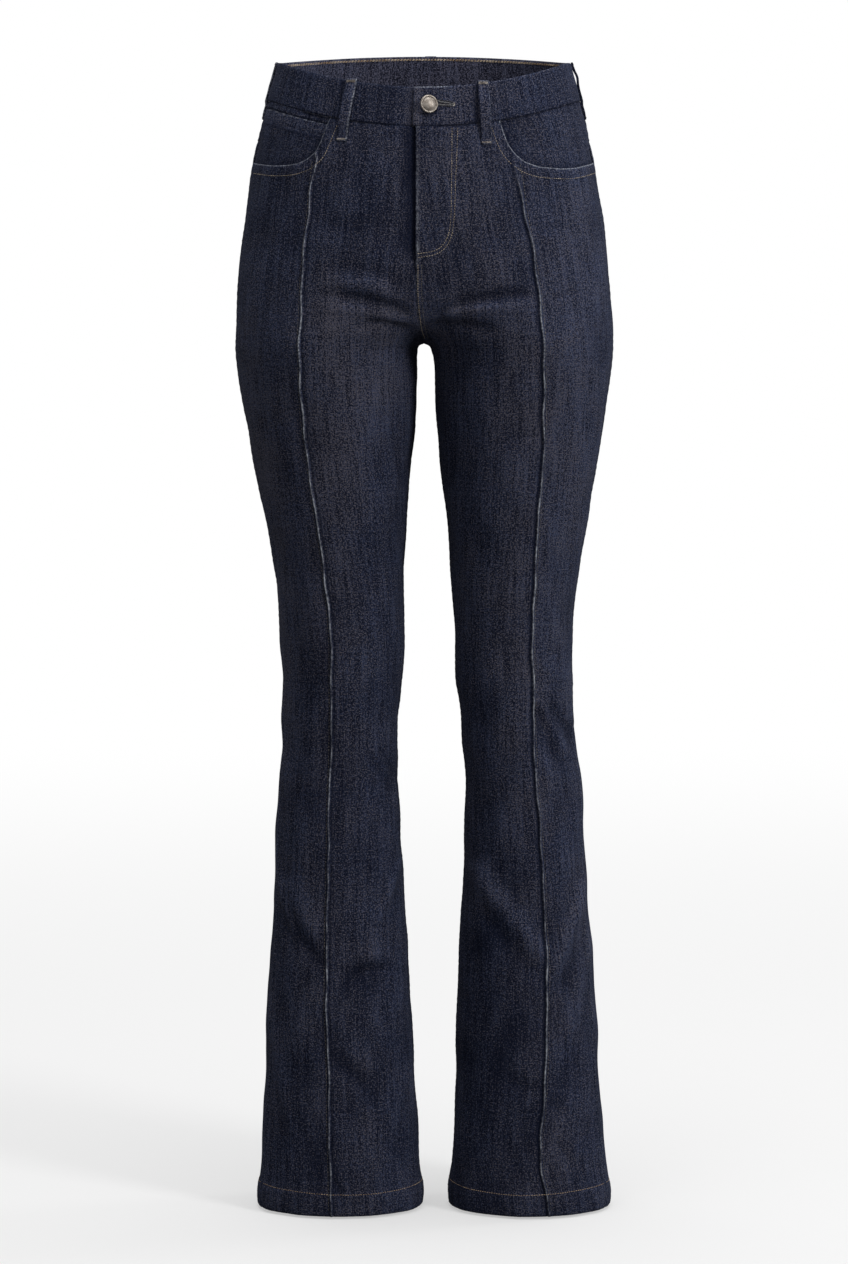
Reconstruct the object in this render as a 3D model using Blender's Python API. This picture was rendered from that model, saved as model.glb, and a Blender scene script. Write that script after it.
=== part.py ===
"""Bootcut jeans in dark stretch denim, filled out as if worn.

Front faces -Y, up is +Z, and the origin is the middle of the waist opening at the
height of the front edge. Tables are in millimetres. "right" and "left" are the
wearer's, so the right leg lies on -X.
"""
import math

import bpy
import numpy as np

MM = 0.001
RIGHT = -1
LEFT = 1
FRONT = -1
BACK = 1

CLOTH = 1.5            # wall of a leg panel or yoke
BAND_CLOTH = 2.2       # doubled and faced waistband
PATCH_CLOTH = 1.2      # pockets and hip pieces
LOOP_CLOTH = 1.7       # strip folded in three
SEAM = 0.15            # each piece stops this far short of its seam line
GAP = 0.3              # clear space under anything that lies on a panel
BAND_HEIGHT = 36.6
BAND_PROUD = 0.7       # the band's face stands out from the panels
CROTCH_Z = -246.3
HEM_Z = -1087.0
HEM_HEIGHT = 22.0
HEM_PROUD = 0.5
HEM_INSIDE = 0.9
SAMPLES = 200          # steps used to measure along one quarter of a section

# Reach of the body from the mid line; "inner" is where one leg's own oval would end.
TORSO = [
    # z, outer, inner
    (40.0, 134.0, -128.0),
    (20.0, 139.5, -134.0),
    (11.0, 141.6, -137.0),
    (0.0, 144.9, -140.0),
    (-16.0, 149.0, -143.0),
    (-33.0, 153.8, -146.0),
    (-71.0, 162.4, -150.0),
    (-109.0, 168.6, -146.0),
    (-147.0, 173.8, -124.0),
    (-186.0, 178.4, -82.0),
    (-205.0, 179.7, -53.0),
    (-219.0, 180.3, -30.0),
    (-230.0, 180.5, -12.5),
    (-238.0, 180.6, -0.5),
    (-243.6, 180.6, 4.7),
    (CROTCH_Z, 180.6, 7.0),
]
RIGHT_LEG = [
    (-249.0, 180.5, 8.4),
    (-253.0, 180.2, 8.7),
    (-259.0, 179.7, 8.7),
    (-270.0, 178.6, 8.0),
    (-282.0, 177.4, 7.3),
    (-300.0, 174.8, 7.5),
    (-320.0, 171.7, 8.3),
    (-359.0, 164.5, 11.8),
    (-397.0, 156.7, 15.3),
    (-436.0, 149.2, 17.8),
    (-475.0, 143.0, 18.7),
    (-514.0, 139.7, 19.1),
    (-552.0, 137.9, 19.9),
    (-572.0, 136.7, 21.2),
    (-591.0, 136.8, 22.5),
    (-611.0, 137.2, 25.0),
    (-631.0, 137.3, 25.3),
    (-650.0, 139.4, 24.2),
    (-670.0, 141.6, 24.5),
    (-689.0, 142.2, 23.7),
    (-728.0, 143.6, 22.2),
    (-768.0, 145.4, 20.4),
    (-807.0, 147.7, 17.6),
    (-847.0, 150.4, 14.3),
    (-886.0, 152.6, 12.0),
    (-926.0, 153.6, 10.5),
    (-965.0, 154.8, 9.2),
    (-1005.0, 157.1, 6.4),
    (-1045.0, 159.4, 3.9),
    (-1057.0, 161.0, 2.6),
    (-1066.0, 162.7, 1.0),
    (-1076.0, 163.0, 0.7),
    (-1092.0, 162.6, 1.6),
]
LEFT_LEG = [
    (-249.0, 180.5, 8.9),
    (-253.0, 180.3, 9.6),
    (-259.0, 180.0, 10.4),
    (-270.0, 179.6, 10.8),
    (-282.0, 178.6, 10.4),
    (-300.0, 176.5, 10.7),
    (-320.0, 173.9, 11.8),
    (-359.0, 167.7, 15.5),
    (-397.0, 160.3, 20.0),
    (-436.0, 153.6, 24.4),
    (-475.0, 147.9, 26.7),
    (-514.0, 143.9, 27.9),
    (-552.0, 142.9, 29.6),
    (-572.0, 142.7, 30.7),
    (-591.0, 143.2, 34.0),
    (-611.0, 144.5, 36.8),
    (-631.0, 146.7, 37.4),
    (-650.0, 149.0, 39.4),
    (-670.0, 152.4, 40.0),
    (-689.0, 153.8, 40.0),
    (-728.0, 156.0, 39.1),
    (-768.0, 158.5, 37.2),
    (-807.0, 161.0, 35.4),
    (-847.0, 164.1, 34.2),
    (-886.0, 167.2, 32.0),
    (-926.0, 169.2, 30.9),
    (-965.0, 171.5, 30.0),
    (-1005.0, 174.3, 29.3),
    (-1045.0, 178.0, 27.9),
    (-1057.0, 179.6, 26.0),
    (-1066.0, 181.0, 24.5),
    (-1076.0, 181.5, 24.0),
    (-1092.0, 181.4, 24.2),
]
# How far the cloth stands in front of and behind the line between the hips, how wide
# the cloth bridges from leg to leg, how square a section is, and how far the side
# seam turns to the front (degrees).
DEPTHS = [
    # z, front, back, web, square, turn
    (40.0, 94.0, 92.0, 56.0, 2.2, 0.0),
    (0.0, 100.0, 100.0, 54.0, 2.2, 0.0),
    (-37.0, 106.0, 108.0, 52.0, 2.2, 0.0),
    (-80.0, 111.0, 118.0, 49.0, 2.22, 0.0),
    (-120.0, 113.0, 126.0, 44.0, 2.22, 0.0),
    (-160.0, 113.0, 129.0, 34.0, 2.2, 0.0),
    (-200.0, 110.0, 127.0, 21.0, 2.15, 0.0),
    (-225.0, 107.0, 121.5, 13.0, 2.1, 0.0),
    (CROTCH_Z, 104.0, 115.0, 7.0, 2.06, 0.0),
    (-270.0, 100.5, 108.5, 5.0, 2.04, 0.0),
    (-300.0, 96.0, 102.0, 1.6, 2.02, 0.0),
    (-320.0, 93.2, 98.0, 0.0, 2.0, 0.0),
    (-350.0, 89.0, 93.0, 0.0, 2.0, 1.0),
    (-400.0, 82.5, 85.5, 0.0, 2.0, 2.0),
    (-450.0, 76.0, 77.5, 0.0, 2.0, 3.0),
    (-500.0, 70.0, 70.5, 0.0, 2.0, 5.0),
    (-550.0, 65.5, 65.0, 0.0, 2.0, 8.0),
    (-600.0, 62.0, 61.5, 0.0, 2.0, 11.0),
    (-650.0, 59.5, 61.0, 0.0, 2.0, 14.0),
    (-700.0, 58.0, 62.5, 0.0, 2.0, 17.0),
    (-750.0, 57.5, 64.5, 0.0, 2.0, 20.0),
    (-800.0, 57.5, 66.5, 0.0, 2.0, 22.0),
    (-850.0, 58.0, 68.0, 0.0, 2.0, 23.0),
    (-900.0, 59.0, 69.5, 0.0, 2.0, 23.0),
    (-1000.0, 61.0, 72.0, 0.0, 2.0, 21.0),
    (-1092.0, 63.5, 75.0, 0.0, 2.0, 20.0),
]
# The garment sits turned a little to its own right, so both centre seams stand off x = 0.
CENTRE_SEAMS = [
    # z, front x, back x
    (40.0, -8.5, 6.5),
    (-40.0, -7.8, 6.0),
    (-190.0, -7.8, 4.5),
    (-209.0, -6.8, 3.5),
    (-222.0, -5.2, 2.5),
    (-238.0, -2.2, 1.2),
    (CROTCH_Z, 0.0, 0.0),
]
# Where the pintuck runs down each front.
TUCK_RIGHT = [
    # z, x
    (20.0, 103.0),
    (-62.0, 102.0),
    (-92.0, 105.0),
    (-137.0, 109.5),
    (-188.0, 114.3),
    (-242.0, 116.5),
    (-280.0, 116.3),
    (-323.0, 114.2),
    (-361.0, 109.8),
    (-410.0, 104.2),
    (-448.0, 98.9),
    (-496.0, 93.4),
    (-535.0, 90.6),
    (-584.0, 88.8),
    (-642.0, 88.6),
    (-681.0, 90.8),
    (-730.0, 92.2),
    (-778.0, 94.2),
    (-827.0, 95.0),
    (-880.0, 93.8),
    (-955.0, 91.6),
    (-1005.0, 90.7),
    (-1092.0, 89.0),
]
TUCK_LEFT = [
    (20.0, 84.0),
    (-65.0, 86.5),
    (-92.0, 90.7),
    (-125.0, 95.4),
    (-153.0, 101.1),
    (-190.0, 105.9),
    (-219.0, 108.9),
    (-257.0, 111.0),
    (-295.0, 112.1),
    (-342.0, 112.3),
    (-390.0, 110.8),
    (-438.0, 108.2),
    (-487.0, 106.5),
    (-535.0, 105.2),
    (-584.0, 105.1),
    (-632.0, 106.2),
    (-671.0, 108.3),
    (-710.0, 111.3),
    (-759.0, 114.3),
    (-798.0, 116.3),
    (-836.0, 118.2),
    (-875.0, 118.4),
    (-950.0, 117.4),
    (-990.0, 115.0),
    (-1010.0, 113.4),
    (-1036.0, 115.2),
    (-1063.0, 118.6),
    (-1092.0, 122.0),
]
# The scooped edge of each hip pocket, from the waist seam to the side seam.
SCOOP_RIGHT = [
    # x, z
    (88.2, -29.0),
    (94.1, -43.2),
    (98.0, -53.2),
    (102.8, -61.8),
    (110.5, -68.5),
    (119.1, -72.6),
    (129.6, -74.4),
    (144.0, -75.1),
    (165.0, -73.5),
]
SCOOP_LEFT = [
    (71.2, -31.5),
    (73.9, -40.6),
    (79.5, -54.3),
    (86.3, -63.9),
    (94.6, -70.7),
    (108.4, -75.6),
    (129.0, -77.6),
    (142.8, -77.4),
    (165.0, -73.0),
]
# Largest folds: a trough is negative, a ridge positive, and the ends fade out.
FOLDS = [
    # face, x1, z1, x2, z2, half width, height
    (FRONT, -82.0, -196.0, -12.0, -213.0, 8.0, -2.4),
    (FRONT, -58.0, -223.0, -10.0, -231.0, 7.0, -1.8),
    (FRONT, -85.0, -184.0, -30.0, -190.0, 9.0, 1.4),
    (FRONT, 24.0, -201.0, 102.0, -192.0, 8.0, -2.0),
    (FRONT, 10.0, -225.0, 66.0, -226.0, 7.5, -2.4),
    (FRONT, 14.0, -212.0, 100.0, -209.0, 8.0, 1.5),
    (FRONT, 106.0, -588.0, 148.0, -640.0, 9.0, -3.6),
    (FRONT, -48.0, -634.0, -22.0, -682.0, 9.0, -3.4),
    (FRONT, -137.0, -760.0, -96.0, -818.0, 13.0, 2.6),
    (FRONT, -24.0, -742.0, -46.0, -806.0, 12.0, 2.4),
    (FRONT, -74.0, -838.0, -44.0, -868.0, 15.0, -2.8),
    (FRONT, 44.0, -744.0, 80.0, -792.0, 12.0, 2.6),
    (FRONT, 80.0, -792.0, 116.0, -838.0, 13.0, 2.2),
    (FRONT, 157.0, -766.0, 122.0, -860.0, 11.0, 2.4),
    (BACK, 22.0, -252.0, 96.0, -262.0, 10.0, -3.2),
    (BACK, -20.0, -250.0, -104.0, -266.0, 10.0, -3.4),
    (BACK, 60.0, -574.0, 126.0, -586.0, 9.0, -3.2),
    (BACK, 52.0, -622.0, 132.0, -612.0, 10.0, -3.6),
    (BACK, -44.0, -578.0, -112.0, -590.0, 9.0, -3.4),
    (BACK, -40.0, -628.0, -122.0, -618.0, 10.0, -3.4),
    (BACK, 58.0, -770.0, 128.0, -836.0, 14.0, 2.8),
    (BACK, -52.0, -780.0, -128.0, -844.0, 14.0, 2.8),
]
# The pintuck: a fold that stands up on its inner side and is sewn flat on its outer side.
TUCK_PROFILE = [
    # across, height
    (-0.9, 0.0),
    (-0.3, 1.7),
    (1.1, 1.6),
    (3.2, 0.0),
]
# Rows of a leg panel from the waist seam or pocket edge down to the crotch, as shares of
# that height at the inner edge and at the side seam.
UPPER_ROWS = [
    # inner, side
    (0.0, 0.0),
    (0.17, 0.10),
    (0.34, 0.22),
    (0.50, 0.34),
    (0.64, 0.46),
    (0.755, 0.58),
    (0.845, 0.70),
    (0.915, 0.81),
    (0.963, 0.91),
    (1.0, 1.0),
]
# Rows from the crotch to mid thigh, as heights at the inseam and at the side seam.
THIGH_ROWS = [
    # inner z, side z
    (-247.1, -253.0),
    (-249.0, -260.0),
    (-253.0, -268.0),
    (-261.0, -278.0),
    (-273.0, -290.0),
    (-290.0, -304.0),
    (-312.0, -322.0),
    (-342.0, -346.0),
]
LEG_ROWS = [-378.0, -415.0, -452.0, -490.0, -525.0, -553.0, -572.0, -588.0, -602.0, -615.0,
            -628.0, -641.0, -655.0, -670.0, -688.0, -712.0, -740.0, -762.0, -784.0, -806.0,
            -828.0, -850.0, -876.0, -910.0, -950.0, -990.0, -1028.0, -1052.0]
HEM_ROWS = [-1064.0, -1066.0, -1077.0, -1085.8]
FRONT_INNER = [0.0, 0.20, 0.42, 0.64]       # columns before the pocket corner
FRONT_OUTER = [0.13, 0.32, 0.55, 0.79, 1.0]  # columns from the tuck to the side seam
BACK_COLUMNS = [0.0, 0.10, 0.21, 0.32, 0.43, 0.54, 0.65, 0.76, 0.88, 1.0]
YOKE_ROWS = 5
YOKE_DEPTH = [
    # share of the way to the side seam, yoke height
    (0.0, 74.0),
    (0.5, 54.0),
    (1.0, 38.0),
]

FLY_LIP = 1.2          # the fly edge laps the other front
FLY_LIP_FLAT = 4.0     # the lip is flat for this far from the edge, then sinks
FLY_LIP_WIDTH = 40.0
FLY_FOOT_Z = -160.0
FLY_FOOT_FADE = (-18.0, 4.0)    # the lip fades out between these heights about its foot

HIP_FOOT_Z = -88.0
HIP_RISE = 1.4         # a hip piece comes this far forward inside the scoop
HIP_RISE_FROM = 13.0   # distances from the scoop's edge between which it does so
HIP_RISE_TO = 36.0
HIP_ROWS = 9
COIN_CLOTH = 1.0
COIN_DROP = 7.0        # the coin pocket's top edge is this far below the waist seam
COIN_FOOT_Z = -84.0

BAND_TOP_MIDDLE = -1.0     # the band's top edge at the front, the sides and the back
BAND_TOP_SIDE = 21.0
BAND_TOP_BACK = 27.0
BAND_LAP_X = 9.7       # the upper end stops here, on the wearer's right of the middle
BAND_UNDER_X = 26.0    # the lower end runs on to here, under the other
BAND_OVER_OUT = 1.5    # how far the upper and lower ends stand off the form
BAND_UNDER_OUT = -1.0
BAND_OVER_FADE = (0.02, 0.18)   # shares of a quarter over which the upper end sinks
BAND_STEPS = 11
BAND_ROWS = [
    # share of the height, roll inwards
    (0.0, 0.7),
    (0.05, 0.1),
    (0.35, 0.0),
    (0.7, 0.0),
    (0.95, 0.1),
    (1.0, 0.5),
]

# A loop stands off the band between its two sewn ends.
LOOP_CLEAR = 0.3       # clear space under a sewn end
LOOP_RISE = 0.8        # the ends lie this far above the panels' form
LOOP_PROFILE = [
    # share of the way down, share of the bow
    (0.0, 0.0),
    (0.07, 0.0),
    (0.16, 0.33),
    (0.30, 0.78),
    (0.50, 1.0),
    (0.70, 0.78),
    (0.84, 0.33),
    (0.93, 0.0),
    (1.0, 0.0),
]
LOOP_HALF = 5.4
FRONT_LOOPS = [
    # name, side, x at the top, x at the foot, drop, bow
    ("loop_front_right", RIGHT, 67.4, 77.6, 55.8, 2.7),
    ("loop_front_left", LEFT, 54.8, 58.2, 57.0, 2.7),
]
BACK_LOOPS = [
    # name, side, share of the back quarter, top z, drop, bow
    ("loop_side_right", RIGHT, 0.955, 21.0, 54.0, 0.9),
    ("loop_side_left", LEFT, 0.985, 21.0, 54.0, 1.3),
    ("loop_back", LEFT, 0.0, 27.0, 54.0, 2.7),
]

BACK_POCKET = {
    "middle": 118.0,     # along the cloth from the mid line
    "half_top": 68.0,
    "half_foot": 59.0,
    "top_z": -92.0,
    "tilt": 7.0,         # the side end of the top edge sits higher
    "height": 122.0,
    "point": 13.0,
    "clear": 0.5,
}
POCKET_COLUMNS = 12
POCKET_ROWS = 12

BUTTON_X = 4.0
BUTTON_Z = -18.0
BUTTON_PROFILE = [
    # radius, height above the band
    (0.0, 0.35),
    (3.6, 0.35),
    (3.6, 1.6),
    (7.9, 1.7),
    (8.5, 2.1),
    (8.6, 2.9),
    (8.2, 3.5),
    (7.3, 3.7),
    (6.7, 3.3),
    (6.1, 3.5),
    (4.4, 4.3),
    (2.3, 4.8),
    (0.0, 5.0),
]
BUTTON_SEGMENTS = 32

EDGE_PASSES = 12       # a height that depends on x, and x on it, settles in this many
DENIM = (0.022, 0.025, 0.042)
DENIM_PALE = (0.030, 0.034, 0.052)
DENIM_ROUGHNESS = 0.9
DENIM_ANGLE = 40.0     # edges sharper than this stay crisp, in degrees
NICKEL = (0.36, 0.33, 0.30)
NICKEL_ROUGHNESS = 0.38
NICKEL_ANGLE = 35.0


class Smooth:
    """Rows of named columns, read at any height along a curve that never overshoots."""

    def __init__(self, names, rows):
        grid = np.array(sorted(rows), dtype=float)
        self.keys = grid[:, 0]
        self.step = np.diff(self.keys)
        self.values = {}
        self.slopes = {}
        for k, name in enumerate(names):
            value = grid[:, k + 1]
            rate = np.diff(value) / self.step
            slope = np.empty(len(value))
            slope[0] = rate[0]
            slope[-1] = rate[-1]
            product = rate[:-1] * rate[1:]
            total = rate[:-1] + rate[1:]
            safe = np.where(product > 0.0, total, 1.0)
            slope[1:-1] = np.where(product > 0.0, 2.0 * product / safe, 0.0)
            self.values[name] = value
            self.slopes[name] = slope

    def at(self, name, key):
        value = self.values[name]
        slope = self.slopes[name]
        key = np.clip(key, self.keys[0], self.keys[-1])
        i = np.clip(np.searchsorted(self.keys, key) - 1, 0, len(self.keys) - 2)
        h = self.step[i]
        t = (key - self.keys[i]) / h
        lead = (1.0 + 2.0 * t) * (1.0 - t) ** 2 * value[i]
        tail = t * t * (3.0 - 2.0 * t) * value[i + 1]
        bend = t * (1.0 - t) ** 2 * h * slope[i] - t * t * (1.0 - t) * h * slope[i + 1]
        return lead + tail + bend


REACH = {
    RIGHT: Smooth(("outer", "inner"), TORSO + RIGHT_LEG),
    LEFT: Smooth(("outer", "inner"), TORSO + LEFT_LEG),
}
DEPTH = Smooth(("front", "back", "web", "square", "turn"), DEPTHS)
CENTRE = Smooth(("front", "back"), CENTRE_SEAMS)
TUCK = {RIGHT: Smooth(("x",), TUCK_RIGHT), LEFT: Smooth(("x",), TUCK_LEFT)}
SCOOP = {RIGHT: SCOOP_RIGHT, LEFT: SCOOP_LEFT}


def ramp(value, low, high):
    """Rise smoothly from 0 at low to 1 at high."""
    t = np.clip((value - low) / (high - low), 0.0, 1.0)
    return t * t * (3.0 - 2.0 * t)


def oval(side, z):
    """Middle, half width, bridge and squareness of one leg's section."""
    web = DEPTH.at("web", z)
    outer = np.hypot(REACH[side].at("outer", z), web)
    inner = REACH[side].at("inner", z)
    return (outer + inner) / 2.0, (outer - inner) / 2.0, web, DEPTH.at("square", z)


def section(side, face, z):
    """Points of a quarter section from the mid line or inseam to the side seam.

    Gives distance from the mid line, y, and length along the cloth, a row for each z.
    """
    z = np.asarray(z, dtype=float)[:, None]
    middle, half, web, square = oval(side, z)
    cut = np.clip((middle - web) / half, -0.999, 1.0)
    rise = np.maximum(1.0 - np.abs(cut) ** square, 0.0) ** (1.0 / square)
    start = np.arctan2(rise, cut)
    turn = np.radians(DEPTH.at("turn", z))
    end = math.pi + turn * (1.0 if face == BACK else -1.0)
    share = np.linspace(0.0, 1.0, SAMPLES)[None, :]
    angle = start + (end - start) * share * share
    cosine = np.cos(angle)
    sine = np.sin(angle)
    radius = (np.abs(cosine) ** square + np.abs(sine) ** square) ** (-1.0 / square)
    reach = middle - half * radius * cosine
    x = np.sqrt(np.maximum(reach * reach - web * web, 0.0))
    y = face * radius * sine
    y = y * np.where(y < 0.0, DEPTH.at("front", z), DEPTH.at("back", z))
    steps = np.cumsum(np.hypot(np.diff(x), np.diff(y)), axis=1)
    return x, y, np.concatenate([np.zeros_like(x[:, :1]), steps], axis=1)


def centre_shift(side, face, z):
    """How far a panel starts from the mid line, counted towards its own side."""
    return side * CENTRE.at("front" if face == FRONT else "back", z)


def level(x, y, z):
    """Zero on the cloth, positive outside it."""
    away = np.abs(x)
    total = np.zeros_like(away)
    for side in (RIGHT, LEFT):
        mine = (x < 0.0) if side == RIGHT else (x >= 0.0)
        middle, half, web, square = oval(side, z)
        deep = np.where(y < 0.0, DEPTH.at("front", z), DEPTH.at("back", z))
        reach = np.sqrt(away * away + web * web)
        here = (np.abs(reach - middle) / half) ** square + (np.abs(y) / deep) ** square
        total = np.where(mine, here, total)
    return total - 1.0


def outward(points):
    """Unit normals of the cloth at points on it."""
    x, y, z = points[..., 0], points[..., 1], points[..., 2]
    step = 0.05
    slope = np.stack([
        level(x + step, y, z) - level(x - step, y, z),
        level(x, y + step, z) - level(x, y - step, z),
        level(x, y, z + step) - level(x, y, z - step),
    ], axis=-1)
    size = np.linalg.norm(slope, axis=-1, keepdims=True)
    return slope / np.maximum(size, 1e-12)


def fold_height(points):
    """Height of the largest folds at points of the cloth."""
    x, y, z = points[..., 0], points[..., 1], points[..., 2]
    total = np.zeros_like(x)
    for face, x1, z1, x2, z2, width, height in FOLDS:
        run = np.array([x2 - x1, z2 - z1])
        size = float(np.hypot(*run))
        run = run / size
        along = (x - x1) * run[0] + (z - z1) * run[1]
        across = (x - x1) * run[1] - (z - z1) * run[0]
        middle = along / size
        fade = np.clip(1.0 - np.abs(2.0 * middle - 1.0) ** 4, 0.0, 1.0)
        fade = np.where((middle < 0.0) | (middle > 1.0), 0.0, fade)
        near = ramp(y * face, 4.0, 30.0)
        total += height * np.exp(-(across / width) ** 2) * fade * near
    return total


def place(side, face, along, z):
    """Points of the cloth at a length along its section, and their outward normals.

    along counts from x = 0 above the crotch and from the inseam below it; a negative
    length reaches over to the other side.
    """
    along = np.asarray(along, dtype=float)
    z = np.broadcast_to(np.asarray(z, dtype=float), along.shape)
    flat_along = along.ravel()
    flat_z = z.ravel()
    xs, ys, lengths = section(side, face, flat_z)
    x = np.empty(len(flat_z))
    y = np.empty(len(flat_z))
    for k in range(len(flat_z)):
        x[k] = np.interp(abs(flat_along[k]), lengths[k], xs[k])
        y[k] = np.interp(abs(flat_along[k]), lengths[k], ys[k])
    x = x * np.where(flat_along < 0.0, -side, side)
    points = np.stack([x, y, flat_z], axis=-1)
    normals = outward(points)
    points = points + normals * fold_height(points)[:, None]
    return points.reshape(along.shape + (3,)), normals.reshape(along.shape + (3,))


def full_length(side, face, z):
    """Length of a quarter section, from the mid line or inseam to the side seam."""
    z = np.asarray(z, dtype=float)
    return section(side, face, z.ravel())[2][:, -1].reshape(z.shape)


def length_at(side, face, x, z):
    """Length along the section at which the cloth is x from the mid line."""
    z = np.asarray(z, dtype=float)
    x = np.broadcast_to(np.asarray(x, dtype=float), z.shape)
    xs, _, lengths = section(side, face, z.ravel())
    found = [np.interp(a, row, size) for a, row, size in zip(x.ravel(), xs, lengths)]
    return np.array(found).reshape(z.shape)


def top_edge(x, face):
    """Height of the waistband's top edge: low in front, level at the sides."""
    share = np.clip(np.abs(x) / REACH[LEFT].at("outer", 0.0), 0.0, 1.0) ** 2
    if face == FRONT:
        return BAND_TOP_MIDDLE + (BAND_TOP_SIDE - BAND_TOP_MIDDLE) * share
    return BAND_TOP_BACK + (BAND_TOP_SIDE - BAND_TOP_BACK) * share


def scoop_height(side, x):
    """Height of the pocket's edge at a distance from the mid line."""
    rows = np.array(SCOOP[side])
    return np.interp(np.abs(x), rows[:, 0], rows[:, 1])


def grid_faces(rows, columns, offset, flip):
    """Quads of a grid of points stored row by row."""
    faces = []
    for i in range(rows - 1):
        for j in range(columns - 1):
            a = offset + i * columns + j
            b = a + 1
            c = a + columns + 1
            d = a + columns
            faces.append((a, d, c, b) if flip else (a, b, c, d))
    return faces


def wall(outer, inner):
    """A closed wall between an outer and an inner grid of the same shape."""
    rows, columns = outer.shape[:2]
    count = rows * columns
    points = np.concatenate([outer.reshape(-1, 3), inner.reshape(-1, 3)])
    faces = grid_faces(rows, columns, 0, False) + grid_faces(rows, columns, count, True)
    edge = [j for j in range(columns)]
    edge += [i * columns + columns - 1 for i in range(1, rows)]
    edge += [(rows - 1) * columns + j for j in range(columns - 2, -1, -1)]
    edge += [i * columns for i in range(rows - 2, 0, -1)]
    for k, a in enumerate(edge):
        b = edge[(k + 1) % len(edge)]
        faces.append((b, a, a + count, b + count))
    return points, faces


def lathe(profile, centre, axis, segments):
    """A round solid from (radius, height) rows that start and end on its axis."""
    axis = axis / np.linalg.norm(axis)
    side_way = np.cross(axis, (0.0, 0.0, 1.0))
    side_way = side_way / np.linalg.norm(side_way)
    up_way = np.cross(side_way, axis)
    points = [centre + axis * profile[0][1]]
    for radius, height in profile[1:-1]:
        for k in range(segments):
            angle = 2.0 * math.pi * k / segments
            ring = side_way * math.cos(angle) + up_way * math.sin(angle)
            points.append(centre + axis * height + ring * radius)
    points.append(centre + axis * profile[-1][1])
    faces = []
    for k in range(segments):
        after = (k + 1) % segments
        faces.append((0, 1 + after, 1 + k))
        for ring in range(len(profile) - 3):
            low = 1 + ring * segments
            high = low + segments
            faces.append((low + k, low + after, high + after, high + k))
        last = 1 + (len(profile) - 3) * segments
        faces.append((last + k, last + after, len(points) - 1))
    return np.array(points), faces


def signed_volume(points, faces):
    """Six times the volume a mesh holds, positive when its faces point outwards."""
    total = 0.0
    for face in faces:
        a = points[face[0]]
        for k in range(1, len(face) - 1):
            total += float(np.dot(a, np.cross(points[face[k]], points[face[k + 1]])))
    return total


def add_piece(name, points, faces, colour, roughness, metallic, smooth_angle):
    """Make a named object of a closed mesh, facing outwards, with its own material."""
    if signed_volume(points, faces) < 0.0:
        faces = [tuple(reversed(face)) for face in faces]
    mesh = bpy.data.meshes.new(name)
    mesh.from_pydata([tuple(p) for p in points * MM], [], faces)
    mesh.validate()
    mesh.update()
    for polygon in mesh.polygons:
        polygon.use_smooth = True
    mesh.set_sharp_from_angle(angle=math.radians(smooth_angle))
    material = bpy.data.materials.new(name)
    material.use_nodes = True
    shader = material.node_tree.nodes["Principled BSDF"]
    shader.inputs["Base Color"].default_value = (*colour, 1.0)
    shader.inputs["Roughness"].default_value = roughness
    shader.inputs["Metallic"].default_value = metallic
    material.diffuse_color = (*colour, 1.0)
    mesh.materials.append(material)
    piece = bpy.data.objects.new(name, mesh)
    garment.objects.link(piece)
    return piece


def cloth_piece(name, points, normals, out, thickness, colour=DENIM):
    """A cloth wall: points moved out by out, and a plain inside thickness behind them."""
    outer = points + normals * np.asarray(out)[..., None]
    inner = outer - normals * np.asarray(thickness)[..., None]
    add_piece(name, *wall(outer, inner), colour, DENIM_ROUGHNESS, 0.0, DENIM_ANGLE)


def keep_clear_of_middle(points, side, face, row):
    """At the crotch, where four panels meet, hold a panel clear of both seam lines."""
    points[row, 0, 0] = side * SEAM
    points[row, 0, 1] = face * SEAM


def panel_heights(top, shares):
    """Heights of a leg panel's rows for each column, top down."""
    rows = []
    for inner, outer in UPPER_ROWS:
        part = inner + (outer - inner) * shares
        rows.append(top + (CROTCH_Z - top) * part)
    for inner, outer in THIGH_ROWS:
        rows.append(inner + (outer - inner) * shares)
    for height in LEG_ROWS + HEM_ROWS + [HEM_Z]:
        rows.append(np.full_like(shares, height))
    return np.array(rows)


def hem_share(z):
    """1 on the turned-up hem and 0 above it."""
    return ramp(HEM_Z + HEM_HEIGHT - z, -1.0, 1.0)


def hem_out(z):
    """The turned-up hem stands out a little."""
    return HEM_PROUD * hem_share(z)


def hem_in(z):
    """The turned-up hem is thicker on the inside as well."""
    return HEM_INSIDE * hem_share(z)


def front_columns(side, z, with_tuck):
    """Length along the section for each column of a front, row by row."""
    shape = z.shape
    start = centre_shift(side, FRONT, z)
    end = full_length(side, FRONT, z)
    tuck = length_at(side, FRONT, TUCK[side].at("x", z), z)
    corner_x, corner_z = SCOOP[side][0]
    corner_row = np.array([corner_z])
    corner = length_at(side, FRONT, corner_x, corner_row)[0]
    corner_start = float(centre_shift(side, FRONT, corner_row)[0])
    corner_tuck = length_at(side, FRONT, TUCK[side].at("x", corner_row), corner_row)[0]
    corner_share = (corner - corner_start) / (corner_tuck - corner_start)
    inner = FRONT_INNER + [corner_share, (1.0 + corner_share) / 2.0]
    columns = []
    for share in inner:
        columns.append(lambda j, share=share: start[:, j] + share * (tuck[:, j] - start[:, j]))
    ridge = [across for across, _ in TUCK_PROFILE] if with_tuck else [0.0]
    for across in ridge:
        columns.append(lambda j, across=across: tuck[:, j] + across)
    for share in FRONT_OUTER:
        columns.append(lambda j, share=share: tuck[:, j] + share * (end[:, j] - tuck[:, j]))
    along = np.empty(shape)
    for j, column in enumerate(columns):
        along[:, j] = column(j)
    return along


def front_column_count(with_tuck):
    ridge = len(TUCK_PROFILE) if with_tuck else 1
    return len(FRONT_INNER) + 2 + ridge + len(FRONT_OUTER)


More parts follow.
